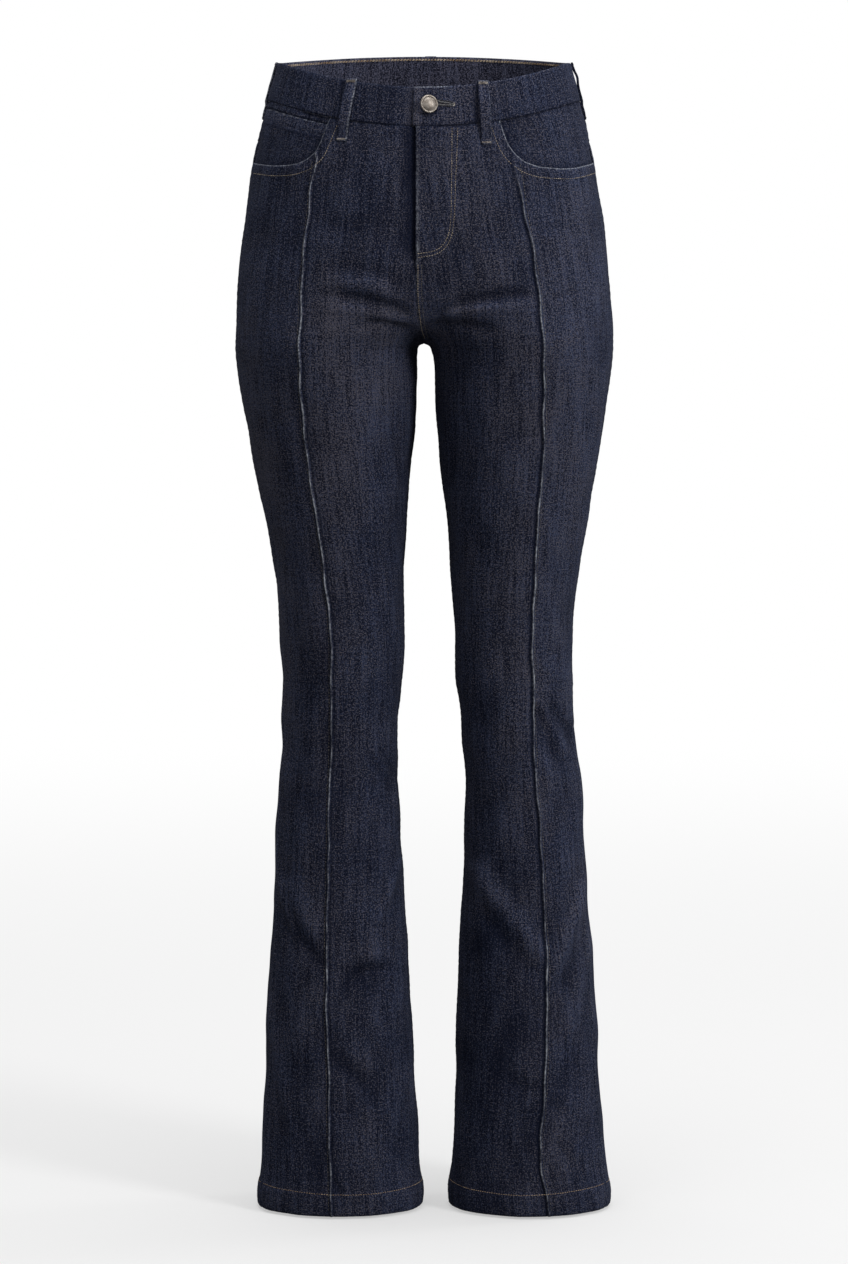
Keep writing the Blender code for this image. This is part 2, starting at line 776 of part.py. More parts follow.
def solve_heights(side, make_heights, columns, with_tuck):
    """Rows whose heights hang from an edge that itself depends on x."""
    heights = make_heights(np.linspace(10.0, 150.0, columns))
    for _ in range(EDGE_PASSES):
        along = front_columns(side, heights, with_tuck)
        points, _ = place(side, FRONT, along[:1], heights[:1])
        heights = make_heights(points[0, :, 0])
    return heights, front_columns(side, heights, with_tuck)


def front_panel(side, name):
    """A front: cut away along the pocket scoop, with its pintuck, fly edge and hem."""
    count = front_column_count(True)
    shares = np.linspace(0.0, 1.0, count)
    corner_column = len(FRONT_INNER)

    def heights(x):
        seam = top_edge(x, FRONT) - BAND_HEIGHT
        scoop = scoop_height(side, x)
        top = np.where(np.arange(count) <= corner_column, seam, scoop)
        return panel_heights(top - SEAM, shares)

    z, along = solve_heights(side, heights, count, True)
    along[:, 0] += SEAM
    along[:, -1] -= SEAM
    points, normals = place(side, FRONT, along, z)
    crotch_row = len(UPPER_ROWS) - 1
    keep_clear_of_middle(points, side, FRONT, crotch_row)
    base = hem_out(z)
    if side == LEFT:
        lip = FLY_LIP * (1.0 - ramp(along - along[:, :1], FLY_LIP_FLAT, FLY_LIP_WIDTH))
        base = base + lip * ramp(z - FLY_FOOT_Z, *FLY_FOOT_FADE)
    ridge = np.zeros_like(z)
    first = corner_column + 2
    for k, (_, height) in enumerate(TUCK_PROFILE):
        ridge[:, first + k] = height
    ridge[0] *= 0.5
    outer = points + normals * (base + ridge)[..., None]
    inner = points + normals * (base - CLOTH - hem_in(z) - hem_out(z))[..., None]
    add_piece(name, *wall(outer, inner), DENIM, DENIM_ROUGHNESS, 0.0, DENIM_ANGLE)


def back_heights(side, depth_share):
    """Heights of the band seam (share 0) or the yoke seam (share 1) over the back columns."""
    share = np.array(BACK_COLUMNS)
    rows = np.array(YOKE_DEPTH)
    depth = depth_share * np.interp(share, rows[:, 0], rows[:, 1])
    z = np.zeros_like(share)
    for _ in range(EDGE_PASSES):
        start = centre_shift(side, BACK, z)
        end = full_length(side, BACK, z)
        points, _ = place(side, BACK, start + share * (end - start), z)
        z = top_edge(points[:, 0], BACK) - BAND_HEIGHT - depth
    return z


def back_columns(side, z):
    start = centre_shift(side, BACK, z)
    end = full_length(side, BACK, z)
    along = start + np.array(BACK_COLUMNS)[None, :] * (end - start)
    along[:, 0] += SEAM
    along[:, -1] -= SEAM
    return along


def back_panel(side, name):
    """A back leg panel, from the yoke seam to the hem."""
    top = back_heights(side, 1.0) - SEAM
    z = panel_heights(top, np.array(BACK_COLUMNS))
    points, normals = place(side, BACK, back_columns(side, z), z)
    keep_clear_of_middle(points, side, BACK, len(UPPER_ROWS) - 1)
    cloth_piece(name, points, normals, hem_out(z), CLOTH + hem_in(z) + hem_out(z))


def yoke(side, name):
    """The shaped piece between the waistband and a back panel."""
    top = back_heights(side, 0.0) - SEAM
    foot = back_heights(side, 1.0) + SEAM
    z = top[None, :] + np.linspace(0.0, 1.0, YOKE_ROWS)[:, None] * (foot - top)[None, :]
    points, normals = place(side, BACK, back_columns(side, z), z)
    zero = np.zeros_like(z)
    cloth_piece(name, points, normals, zero, zero + CLOTH)


def hip_columns(side, z, first):
    """A hip piece shares the front's columns, so the two lie parallel."""
    count = front_column_count(False)
    full = np.empty((z.shape[0], count))
    for j in range(count):
        source = min(max(j - first, 0), z.shape[1] - 1)
        column_z = np.repeat(z[:, source:source + 1], count, axis=1)
        full[:, j] = front_columns(side, column_z, False)[:, j]
    return full[:, first:]


def scoop_distance(side, points):
    """Distance from the pocket's edge, seen from the front."""
    rows = np.array(SCOOP[side])
    away = np.stack([np.abs(points[..., 0]), points[..., 2]], axis=-1)
    best = np.full(away.shape[:-1], 1e9)
    for a, b in zip(rows[:-1], rows[1:]):
        run = b - a
        t = np.clip(((away - a) @ run) / (run @ run), 0.0, 1.0)
        best = np.minimum(best, np.linalg.norm(away - (a + t[..., None] * run), axis=-1))
    inside = (away[..., 1] > scoop_height(side, away[..., 0])) & (away[..., 0] > rows[0, 0])
    return np.where(inside, best, -best)


def hip_surface(side, top_of, foot):
    """Grid for what shows in a pocket scoop, and how deep it lies behind the front."""
    first = len(FRONT_INNER) - 1
    count = front_column_count(False) - first
    shares = np.linspace(0.0, 1.0, HIP_ROWS)[:, None]
    top = np.full(count, -30.0)
    for _ in range(EDGE_PASSES):
        z = top[None, :] + shares * (foot - top)[None, :]
        along = hip_columns(side, z, first)
        points, _ = place(side, FRONT, along[:1], z[:1])
        top = top_of(points[0, :, 0])
    z = top[None, :] + shares * (foot - top)[None, :]
    along = hip_columns(side, z, first)
    along[:, -1] -= SEAM
    points, normals = place(side, FRONT, along, z)
    rise = HIP_RISE * ramp(scoop_distance(side, points), HIP_RISE_FROM, HIP_RISE_TO)
    return points, normals, rise - CLOTH - 1.4 * GAP


def waist_seam_front(x):
    return top_edge(x, FRONT) - BAND_HEIGHT - SEAM


def hip_piece(side, name, behind):
    """The denim that backs a hip pocket's scoop."""
    points, normals, out = hip_surface(side, waist_seam_front, HIP_FOOT_Z)
    cloth_piece(name, points, normals, out - behind, np.full_like(out, PATCH_CLOTH), DENIM_PALE)


def coin_pocket(side, name):
    """The small pocket on the hip piece, seen as an edge just under the waistband."""
    def top(x):
        return waist_seam_front(x) - COIN_DROP

    points, normals, out = hip_surface(side, top, COIN_FOOT_Z)
    cloth_piece(name, points, normals, out, np.full_like(out, COIN_CLOTH))


def band_stations():
    """(side, face, share of the quarter) for each column, from the upper end round."""
    stations = []
    length = float(full_length(RIGHT, FRONT, np.array([-15.0]))[0])
    lap = BAND_LAP_X / length
    under = BAND_UNDER_X / length
    stations += [(RIGHT, FRONT, lap, 0.0), (RIGHT, FRONT, lap / 2.0, 0.0)]
    for k in range(BAND_STEPS):
        stations.append((LEFT, FRONT, k / BAND_STEPS, 0.0))
    for k in range(BAND_STEPS):
        stations.append((LEFT, BACK, 1.0 - k / BAND_STEPS, 0.0))
    for k in range(BAND_STEPS):
        stations.append((RIGHT, BACK, k / BAND_STEPS, 0.0))
    for k in range(BAND_STEPS - 2):
        stations.append((RIGHT, FRONT, 1.0 - k / BAND_STEPS, 0.0))
    stations.append((RIGHT, FRONT, 2.05 * lap, 1.0))
    stations.append((RIGHT, FRONT, lap + 3.0 / length, 1.0))
    stations.append((RIGHT, FRONT, 0.0, 1.0))
    stations.append((LEFT, FRONT, under / 2.0, 1.0))
    stations.append((LEFT, FRONT, under, 1.0))
    return stations


def waistband(name):
    """One strip round the waist whose front end laps over its other end."""
    stations = band_stations()
    rows = len(BAND_ROWS)
    outer = np.empty((rows, len(stations), 3))
    inner = np.empty_like(outer)
    for j, (side, face, share, under) in enumerate(stations):
        seam = np.array([-37.0])
        for _ in range(EDGE_PASSES):
            spot, _ = place(side, face, share * full_length(side, face, seam), seam)
            seam = top_edge(spot[:, 0], face) - BAND_HEIGHT
        low = float(seam[0]) + SEAM
        top = float(seam[0]) + BAND_HEIGHT
        z = np.array([low + row[0] * (top - low) for row in BAND_ROWS])
        roll = np.array([row[1] for row in BAND_ROWS])
        along = share * full_length(side, face, z)
        points, normals = place(side, face, along, z)
        if under:
            out = BAND_UNDER_OUT
        elif j < 2:
            out = BAND_OVER_OUT
        elif side == LEFT and face == FRONT:
            over = 1.0 - float(ramp(share, *BAND_OVER_FADE))
            out = BAND_PROUD + (BAND_OVER_OUT - BAND_PROUD) * over
        else:
            out = BAND_PROUD
        outer[:, j] = points + normals * (out - roll)[:, None]
        inner[:, j] = points + normals * (out - BAND_CLOTH + roll)[:, None]
    add_piece(name, *wall(outer, inner), DENIM, DENIM_ROUGHNESS, 0.0, DENIM_ANGLE)


def loop_strip(name, side, face, spots, bow):
    """A belt loop from its points down the middle, given as (along, z, share of the bow)."""
    outer = np.empty((len(spots), 3, 3))
    inner = np.empty_like(outer)
    across = np.array([-LOOP_HALF, 0.0, LOOP_HALF])
    for i, (along, z, share) in enumerate(spots):
        points, normals = place(side, face, along + across, np.full(3, z))
        clear = LOOP_RISE + LOOP_CLEAR + share * bow
        outer[i] = points + normals * (clear + LOOP_CLOTH)
        inner[i] = points + normals * clear
    add_piece(name, *wall(outer, inner), DENIM, DENIM_ROUGHNESS, 0.0, DENIM_ANGLE)


def front_loop(name, side, x_top, x_foot, drop, bow):
    """A loop on the front, which may lean."""
    top = float(top_edge(np.array([x_top]), FRONT)[0])
    spots = []
    for down, share in LOOP_PROFILE:
        z = top - down * drop
        x = x_top + down * (x_foot - x_top)
        along = float(length_at(side, FRONT, x, np.array([z]))[0])
        spots.append((along, z, share))
    loop_strip(name, side, FRONT, spots, bow)


def back_loop(name, side, turn, top, drop, bow):
    """A loop on the back, at a share of the way from the middle to the side seam."""
    spots = []
    for down, share in LOOP_PROFILE:
        z = top - down * drop
        start = float(centre_shift(side, BACK, np.array([z]))[0])
        end = float(full_length(side, BACK, np.array([z]))[0])
        spots.append((start + turn * (end - start), z, share))
    loop_strip(name, side, BACK, spots, bow)


def back_pocket(side, name):
    """A plain patch pocket with a pointed foot, lying on a back panel."""
    size = BACK_POCKET
    across = np.linspace(-1.0, 1.0, POCKET_COLUMNS + 1)
    down = np.linspace(0.0, 1.0, POCKET_ROWS + 1)
    top = size["top_z"] + size["tilt"] * across
    foot = size["top_z"] + size["tilt"] * across * 0.5 - size["height"]
    foot = foot - size["point"] * (1.0 - np.abs(across))
    z = top[None, :] + down[:, None] * (foot - top)[None, :]
    half = size["half_top"] + (size["half_foot"] - size["half_top"]) * down[:, None]
    along = size["middle"] + half * across[None, :]
    points, normals = place(side, BACK, along, z)
    out = np.full_like(z, size["clear"] + PATCH_CLOTH)
    cloth_piece(name, points, normals, out, np.full_like(z, PATCH_CLOTH))


def waist_button(name):
    """A shank button with a rolled rim round a plain dome."""
    along = length_at(LEFT, FRONT, BUTTON_X, np.array([BUTTON_Z]))
    points, normals = place(LEFT, FRONT, along, np.array([BUTTON_Z]))
    centre = points[0] + normals[0] * BAND_OVER_OUT
    points, faces = lathe(BUTTON_PROFILE, centre, normals[0], BUTTON_SEGMENTS)
    add_piece(name, points, faces, NICKEL, NICKEL_ROUGHNESS, 1.0, NICKEL_ANGLE)


for old in list(bpy.data.objects):
    bpy.data.objects.remove(old, do_unlink=True)
garment = bpy.data.collections.new("bootcut_jeans")
bpy.context.scene.collection.children.link(garment)

front_panel(RIGHT, "front_right")
front_panel(LEFT, "front_left")
back_panel(RIGHT, "back_right")
back_panel(LEFT, "back_left")
yoke(RIGHT, "yoke_right")
yoke(LEFT, "yoke_left")
waistband("waistband")
hip_piece(RIGHT, "hip_right", COIN_CLOTH + GAP)
hip_piece(LEFT, "hip_left", 0.0)
coin_pocket(RIGHT, "coin_pocket")
for row in FRONT_LOOPS:
    front_loop(*row)
for row in BACK_LOOPS:
    back_loop(*row)
back_pocket(RIGHT, "back_pocket_right")
back_pocket(LEFT, "back_pocket_left")
waist_button("waist_button")
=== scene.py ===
# %% [markdown]
# # Dressing a pair of bootcut jeans
#
# The CAD model gives each cut piece as a plain wall of cloth at its true size. Here each
# of those pieces is made again as a fine shell on the same form, with the creases of
# worn denim, the pintuck down each front, thread, a shank button and a woven finish.
# Lengths are in millimetres until a mesh is made, and "right" and "left" are the
# wearer's, so the right leg lies on -X and the front faces -Y.

import math

import bpy
import numpy as np
from mathutils import Matrix, Vector


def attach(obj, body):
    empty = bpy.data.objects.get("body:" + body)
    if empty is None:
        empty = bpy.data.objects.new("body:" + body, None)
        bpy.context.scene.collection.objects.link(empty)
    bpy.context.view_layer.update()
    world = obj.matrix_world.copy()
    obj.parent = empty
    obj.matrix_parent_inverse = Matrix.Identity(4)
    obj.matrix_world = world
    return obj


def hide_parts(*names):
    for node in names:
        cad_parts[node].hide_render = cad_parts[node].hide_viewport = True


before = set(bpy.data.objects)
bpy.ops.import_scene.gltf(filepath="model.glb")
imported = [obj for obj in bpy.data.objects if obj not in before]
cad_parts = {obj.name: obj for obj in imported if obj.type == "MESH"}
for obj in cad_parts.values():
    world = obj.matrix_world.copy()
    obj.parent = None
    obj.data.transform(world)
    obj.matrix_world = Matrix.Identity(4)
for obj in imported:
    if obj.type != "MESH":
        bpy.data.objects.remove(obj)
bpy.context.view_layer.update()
MM = 0.001
RIGHT, LEFT = -1, 1
FRONT, BACK = -1, 1
WORD = {RIGHT: "right", LEFT: "left"}
scene = bpy.context.scene

# %% [markdown]
# ## Camera
#
# The photograph sees the top edge of the back of the waistband over the front one, and
# hems that curve down, so the lens looks slightly down from waist height. The legs keep
# nearly one width, which needs a long lens far away. A 142 mm lens at 4.8 m gives both.

# %% Place the camera
CAMERA_DISTANCE = 4.8
CAMERA_HEIGHT = 0.020
CAMERA_DOWN = math.atan2(568.0, 5000.0)
LENS = 142.4
SENSOR = 36.0
FURTHEST = 60.0

camera_data = bpy.data.cameras.new("camera")
camera_data.lens = LENS
camera_data.sensor_width = SENSOR
camera_data.clip_end = FURTHEST
camera = bpy.data.objects.new("camera", camera_data)
camera.location = (0.0, -CAMERA_DISTANCE, CAMERA_HEIGHT)
camera.rotation_euler = (math.pi / 2.0 - CAMERA_DOWN, 0.0, 0.0)
scene.collection.objects.link(camera)
scene.camera = camera
print("camera looks down", round(math.degrees(CAMERA_DOWN), 2), "degrees")


# %% [markdown]
# ## Shader sums written as Python
#
# A finish is easier to read as a sum than as a picture of nodes. One small class wraps
# an output socket, so that an expression such as 1 - worn * 0.4 adds its Math nodes by
# itself. Every other node comes from one method, which sets the node's choices first
# and then its sockets.

# %% A socket that can be added and multiplied
class Signal:
    """A number that changes over a surface, with sums that become Math nodes."""

    def __init__(self, finish, socket):
        self.finish = finish
        self.socket = socket

    def sum(self, operation, *values):
        return self.finish.node("ShaderNodeMath", {"operation": operation}, dict(enumerate(values)))

    def __add__(self, other):
        return self.sum("ADD", self, other)

    def __sub__(self, other):
        return self.sum("SUBTRACT", self, other)

    def __rsub__(self, other):
        return self.sum("SUBTRACT", other, self)

    def __mul__(self, other):
        return self.sum("MULTIPLY", self, other)

    def __abs__(self):
        return self.sum("ABSOLUTE", self)

    __radd__ = __add__
    __rmul__ = __mul__

    def sine(self):
        return self.sum("SINE", self)

    def ramp(self, low, high):
        """Rise smoothly from 0 at low to 1 at high."""
        values = {"Value": self, "From Min": low, "From Max": high}
        return self.finish.node("ShaderNodeMapRange", {"interpolation_type": "SMOOTHSTEP"}, values)


class Finish:
    """One material and the nodes that make it."""

    def __init__(self, name):
        self.material = bpy.data.materials.new(name)
        self.material.use_nodes = True
        self.tree = self.material.node_tree
        self.tree.nodes.clear()

    def node(self, kind, settings, values, output=0):
        node = self.tree.nodes.new(kind)
        for key, value in settings.items():
            setattr(node, key, value)
        for key, value in values.items():
            self.feed(node.inputs[key], value)
        if not node.outputs:
            return None
        return Signal(self, node.outputs[output])

    def feed(self, socket, value):
        if isinstance(value, Signal):
            self.tree.links.new(value.socket, socket)
        else:
            socket.default_value = value

    def mix(self, share, first, second):
        """Blend two colours."""
        node = self.tree.nodes.new("ShaderNodeMix")
        node.data_type = "RGBA"
        by_name = {socket.identifier: socket for socket in node.inputs}
        self.feed(by_name["Factor_Float"], share)
        self.feed(by_name["A_Color"], first)
        self.feed(by_name["B_Color"], second)
        found = [socket for socket in node.outputs if socket.identifier == "Result_Color"]
        return Signal(self, found[0])

    def place(self):
        """Object coordinates, which stay with the piece."""
        return self.node("ShaderNodeTexCoord", {}, {}, "Object")

    def mark(self, name):
        """A number kept at every point of the mesh."""
        return self.node("ShaderNodeAttribute", {"attribute_name": name}, {}, "Fac")

    def noise(self, place, scale, detail):
        return self.node("ShaderNodeTexNoise", {}, {"Vector": place, "Scale": scale, "Detail": detail})

    def surface(self, values):
        shader = self.node("ShaderNodeBsdfPrincipled", {}, values)
        self.node("ShaderNodeOutputMaterial", {}, {"Surface": shader})


def colour(red, green, blue):
    return (red, green, blue, 1.0)


# %% [markdown]
# ## Floor and light
#
# The photograph has a pale floor that fades to pure white, one soft light from the upper
# right and white all round. A large sheet of floor that turns white with distance does
# both floor and background. World and floor are white to the camera and dull to the
# cloth, as black flags round a set would make them, so that the dark denim isn't washed
# out from below.

# %% Floor
FLOOR_Z = -1.0895
FLOOR_HALF = 20.0
FLOOR_NEAR = -0.6       # where the floor starts to turn white, in metres behind the jeans
FLOOR_FAR = 3.4
FLOOR_GLOW = 0.42       # how much of the floor glows by itself, which keeps its shadows pale
WHITE = colour(1.0, 1.0, 1.0)
PAPER = colour(0.80, 0.80, 0.80)
FLAG = colour(0.12, 0.12, 0.12)     # what the cloth meets in place of white paper


def make_floor():
    finish = Finish("studio_floor")
    depth = finish.node("ShaderNodeSeparateXYZ", {}, {"Vector": finish.place()}, "Y")
    paper = finish.node("ShaderNodeBsdfPrincipled", {}, {"Base Color": PAPER, "Roughness": 0.7})
    glow = finish.node("ShaderNodeEmission", {}, {"Color": WHITE, "Strength": 1.0})
    share = depth.ramp(FLOOR_NEAR, FLOOR_FAR) * (1.0 - FLOOR_GLOW) + FLOOR_GLOW
    blend = finish.node("ShaderNodeMixShader", {}, {0: share, 1: paper, 2: glow})
    dull = finish.node("ShaderNodeBsdfDiffuse", {}, {"Color": FLAG})
    seen = finish.node("ShaderNodeLightPath", {}, {}, "Is Camera Ray")
    blend = finish.node("ShaderNodeMixShader", {}, {0: seen, 1: dull, 2: blend})
    finish.node("ShaderNodeOutputMaterial", {}, {"Surface": blend})
    ways = ((-1, -1), (1, -1), (1, 1), (-1, 1))
    mesh = bpy.data.meshes.new("floor")
    mesh.from_pydata([(x * FLOOR_HALF, y * FLOOR_HALF, FLOOR_Z) for x, y in ways], [], [(0, 1, 2, 3)])
    mesh.materials.append(finish.material)
    floor = bpy.data.objects.new("floor", mesh)
    scene.collection.objects.link(floor)


make_floor()
print("floor at", FLOOR_Z, "m")

# %% Light
WORLD_STRENGTH = 0.20
LIGHTS = [
    # name, place, aim, width, height, watts
    ("key", (2.9, -2.6, 1.2), (0.0, 0.0, -0.45), 0.9, 1.5, 84.0),
    ("fill", (-1.2, -3.2, 0.6), (0.0, 0.0, -0.5), 1.2, 1.6, 9.0),
    ("rim", (2.6, 0.9, 0.4), (0.1, 0.0, -0.5), 0.6, 1.8, 16.0),
    ("top", (0.0, -0.1, 2.8), (0.0, 0.0, -1.1), 3.2, 3.2, 118.0),
]


def make_lights():
    for name, spot, aim, width, height, watts in LIGHTS:
        data = bpy.data.lights.new(name, "AREA")
        data.shape = "RECTANGLE"
        data.size = width
        data.size_y = height
        data.energy = watts
        lamp = bpy.data.objects.new(name, data)
        lamp.location = spot
        lamp.rotation_euler = (Vector(aim) - Vector(spot)).to_track_quat("-Z", "Y").to_euler()
        scene.collection.objects.link(lamp)


def make_world():
    """White to the camera, and dull to all that it lights."""
    world = bpy.data.worlds.new("studio")
    world.use_nodes = True
    tree = world.node_tree
    tree.nodes.clear()
    seen = tree.nodes.new("ShaderNodeLightPath")
    mix = tree.nodes.new("ShaderNodeMixShader")
    tree.links.new(seen.outputs["Is Camera Ray"], mix.inputs[0])
    for k, strength in ((1, WORLD_STRENGTH), (2, 1.0)):
        sky = tree.nodes.new("ShaderNodeBackground")
        sky.inputs["Color"].default_value = WHITE
        sky.inputs["Strength"].default_value = strength
        tree.links.new(sky.outputs[0], mix.inputs[k])
    output = tree.nodes.new("ShaderNodeOutputWorld")
    tree.links.new(mix.outputs[0], output.inputs["Surface"])
    scene.world = world


make_lights()
make_world()
scene.view_settings.view_transform = "Standard"
print("lights:", len(LIGHTS))

# %% [markdown]
# ## The cut
#
# The shape of the jeans is a short list of measures by height, as a cutter would note
# them: how far each leg reaches out and in, how deep it is in front and behind, and how
# the cloth bridges from leg to leg above the crotch. The same rows drive the CAD
# solids, so a shell made from them lies on its solid everywhere.

# %% Measures of the cut
CLOTH = 1.5             # thickness of a panel
BAND_CLOTH = 2.2        # of the waistband, a doubled strip
PATCH_CLOTH = 1.2       # of the hip pieces and back pockets
LOOP_CLOTH = 1.7        # of a loop, folded in three
GAP = 0.3               # air between two layers
SEAM = 0.06             # how far a shell ends before its seam line
BAND_HEIGHT = 36.6
CROTCH_Z = -246.3
HEM_Z = -1087.0
HEM_HEIGHT = 22.0
TORSO = [
    # z, outer, inner
    (40, 134, -128), (20, 139.5, -134), (11, 141.6, -137), (0, 144.9, -140), (-16, 149, -143),
    (-33, 153.8, -146), (-71, 162.4, -150), (-109, 168.6, -146), (-147, 173.8, -124),
    (-186, 178.4, -82), (-205, 179.7, -53), (-219, 180.3, -30), (-230, 180.5, -12.5),
    (-238, 180.6, -0.5), (-243.6, 180.6, 4.7), (CROTCH_Z, 180.6, 7),
]
RIGHT_LEG = [
    # z, outer, inner
    (-249, 180.5, 8.4), (-253, 180.2, 8.7), (-259, 179.7, 8.7), (-270, 178.6, 8),
    (-282, 177.4, 7.3), (-300, 174.8, 7.5), (-320, 171.7, 8.3), (-359, 164.5, 11.8),
    (-397, 156.7, 15.3), (-436, 149.2, 17.8), (-475, 143, 18.7), (-514, 139.7, 19.1),
    (-552, 137.9, 19.9), (-572, 136.7, 21.2), (-591, 136.8, 22.5), (-611, 137.2, 25),
    (-631, 137.3, 25.3), (-650, 139.4, 24.2), (-670, 141.6, 24.5), (-689, 142.2, 23.7),
    (-728, 143.6, 22.2), (-768, 145.4, 20.4), (-807, 147.7, 17.6), (-847, 150.4, 14.3),
    (-886, 152.6, 12), (-926, 153.6, 10.5), (-965, 154.8, 9.2), (-1005, 157.1, 6.4),
    (-1045, 159.4, 3.9), (-1057, 161, 2.6), (-1066, 162.7, 1), (-1076, 163, 0.7),
    (-1092, 162.6, 1.6),
]
LEFT_LEG = [
    # z, outer, inner
    (-249, 180.5, 8.9), (-253, 180.3, 9.6), (-259, 180, 10.4), (-270, 179.6, 10.8),
    (-282, 178.6, 10.4), (-300, 176.5, 10.7), (-320, 173.9, 11.8), (-359, 167.7, 15.5),
    (-397, 160.3, 20), (-436, 153.6, 24.4), (-475, 147.9, 26.7), (-514, 143.9, 27.9),
    (-552, 142.9, 29.6), (-572, 142.7, 30.7), (-591, 143.2, 34), (-611, 144.5, 36.8),
    (-631, 146.7, 37.4), (-650, 149, 39.4), (-670, 152.4, 40), (-689, 153.8, 40), (-728, 156, 39.1),
    (-768, 158.5, 37.2), (-807, 161, 35.4), (-847, 164.1, 34.2), (-886, 167.2, 32),
    (-926, 169.2, 30.9), (-965, 171.5, 30), (-1005, 174.3, 29.3), (-1045, 178, 27.9),
    (-1057, 179.6, 26), (-1066, 181, 24.5), (-1076, 181.5, 24), (-1092, 181.4, 24.2),
]
DEPTHS = [
    # z, front, back, web, square, turn of the side seam to the front in degrees
    (40, 94, 92, 56, 2.2, 0), (0, 100, 100, 54, 2.2, 0), (-37, 106, 108, 52, 2.2, 0),
    (-80, 111, 118, 49, 2.22, 0), (-120, 113, 126, 44, 2.22, 0), (-160, 113, 129, 34, 2.2, 0),
    (-200, 110, 127, 21, 2.15, 0), (-225, 107, 121.5, 13, 2.1, 0), (CROTCH_Z, 104, 115, 7, 2.06, 0),
    (-270, 100.5, 108.5, 5, 2.04, 0), (-300, 96, 102, 1.6, 2.02, 0), (-320, 93.2, 98, 0, 2, 0),
    (-350, 89, 93, 0, 2, 1), (-400, 82.5, 85.5, 0, 2, 2), (-450, 76, 77.5, 0, 2, 3),
    (-500, 70, 70.5, 0, 2, 5), (-550, 65.5, 65, 0, 2, 8), (-600, 62, 61.5, 0, 2, 11),
    (-650, 59.5, 61, 0, 2, 14), (-700, 58, 62.5, 0, 2, 17), (-750, 57.5, 64.5, 0, 2, 20),
    (-800, 57.5, 66.5, 0, 2, 22), (-850, 58, 68, 0, 2, 23), (-900, 59, 69.5, 0, 2, 23),
    (-1000, 61, 72, 0, 2, 21), (-1092, 63.5, 75, 0, 2, 20),
]
CENTRE_SEAMS = [
    # z, front x, back x
    (40, -8.5, 6.5), (-40, -7.8, 6), (-190, -7.8, 4.5), (-209, -6.8, 3.5), (-222, -5.2, 2.5),
    (-238, -2.2, 1.2), (CROTCH_Z, 0, 0),
]
TUCK_RIGHT = [
    # z, x
    (20, 103), (-62, 102), (-92, 105), (-137, 109.5), (-188, 114.3), (-242, 116), (-280, 115.5),
    (-323, 113), (-361, 108), (-410, 101.2), (-448, 95.6), (-496, 90.2), (-535, 87.8), (-584, 87.6),
    (-642, 88.6), (-681, 90.4), (-730, 91), (-778, 91.9), (-827, 93), (-880, 93.2), (-955, 91),
    (-1005, 90.7), (-1092, 89),
]
TUCK_LEFT = [
    # z, x
    (20, 84), (-65, 86.5), (-92, 90.7), (-125, 95.4), (-153, 101.1), (-190, 106.9), (-219, 110.2),
    (-257, 111.8), (-295, 112.8), (-342, 112.3), (-390, 109), (-438, 105.8), (-487, 103.8),
    (-535, 102.8), (-584, 104.3), (-632, 105), (-671, 107.2), (-710, 110.9), (-759, 113.7),
    (-798, 115.4), (-836, 117.8), (-875, 117.6), (-950, 116.3), (-990, 114.2), (-1010, 111.6),
    (-1036, 112.4), (-1063, 117.4), (-1092, 121.4),
]
SCOOP = {
    # x, z of the pocket's edge, from the waist seam to the side seam
    RIGHT: [
        (88.2, -29), (94.1, -43.2), (98, -53.2), (102.8, -61.8), (110.5, -68.5), (119.1, -72.6),
        (129.6, -74.4), (144, -75.1), (165, -73.5)],
    LEFT: [
        (71.2, -31.5), (73.9, -40.6), (79.5, -54.3), (86.3, -63.9), (94.6, -70.7), (108.4, -75.6),
        (129, -77.6), (142.8, -77.4), (165, -73)],
}


# %% Read a table smoothly
class Smooth:
    """Rows of named columns, read at any height along a curve that never overshoots."""

    def __init__(self, names, rows):
        grid = np.array(sorted(rows), dtype=float)
        self.keys = grid[:, 0]
        self.step = np.diff(self.keys)
        self.values = {}
        self.slopes = {}
        for k, name in enumerate(names):
            value = grid[:, k + 1]
            rate = np.diff(value) / self.step
            slope = np.empty(len(value))
            slope[0] = rate[0]
            slope[-1] = rate[-1]
            product = rate[:-1] * rate[1:]
            total = rate[:-1] + rate[1:]
            safe = np.where(product > 0.0, total, 1.0)
            slope[1:-1] = np.where(product > 0.0, 2.0 * product / safe, 0.0)
            self.values[name] = value
            self.slopes[name] = slope

    def at(self, name, key):
        value = self.values[name]
        slope = self.slopes[name]
        key = np.clip(key, self.keys[0], self.keys[-1])
        i = np.clip(np.searchsorted(self.keys, key) - 1, 0, len(self.keys) - 2)
        h = self.step[i]
        t = (key - self.keys[i]) / h
        lead = (1.0 + 2.0 * t) * (1.0 - t) ** 2 * value[i]
        tail = t * t * (3.0 - 2.0 * t) * value[i + 1]
        bend = t * (1.0 - t) ** 2 * h * slope[i] - t * t * (1.0 - t) * h * slope[i + 1]
        return lead + tail + bend


def ramp(value, low, high):
    """Rise smoothly from 0 at low to 1 at high."""
    t = np.clip((value - low) / (high - low), 0.0, 1.0)
    return t * t * (3.0 - 2.0 * t)


def bump(distance, width):
    """A soft hump of height 1, gone at about twice its width."""
    return np.exp(-(distance / width) ** 2)


def between(rows, value):
    """Read a table of two columns along straight lines."""
    rows = np.array(rows, dtype=float)
    return np.interp(value, rows[:, 0], rows[:, 1])


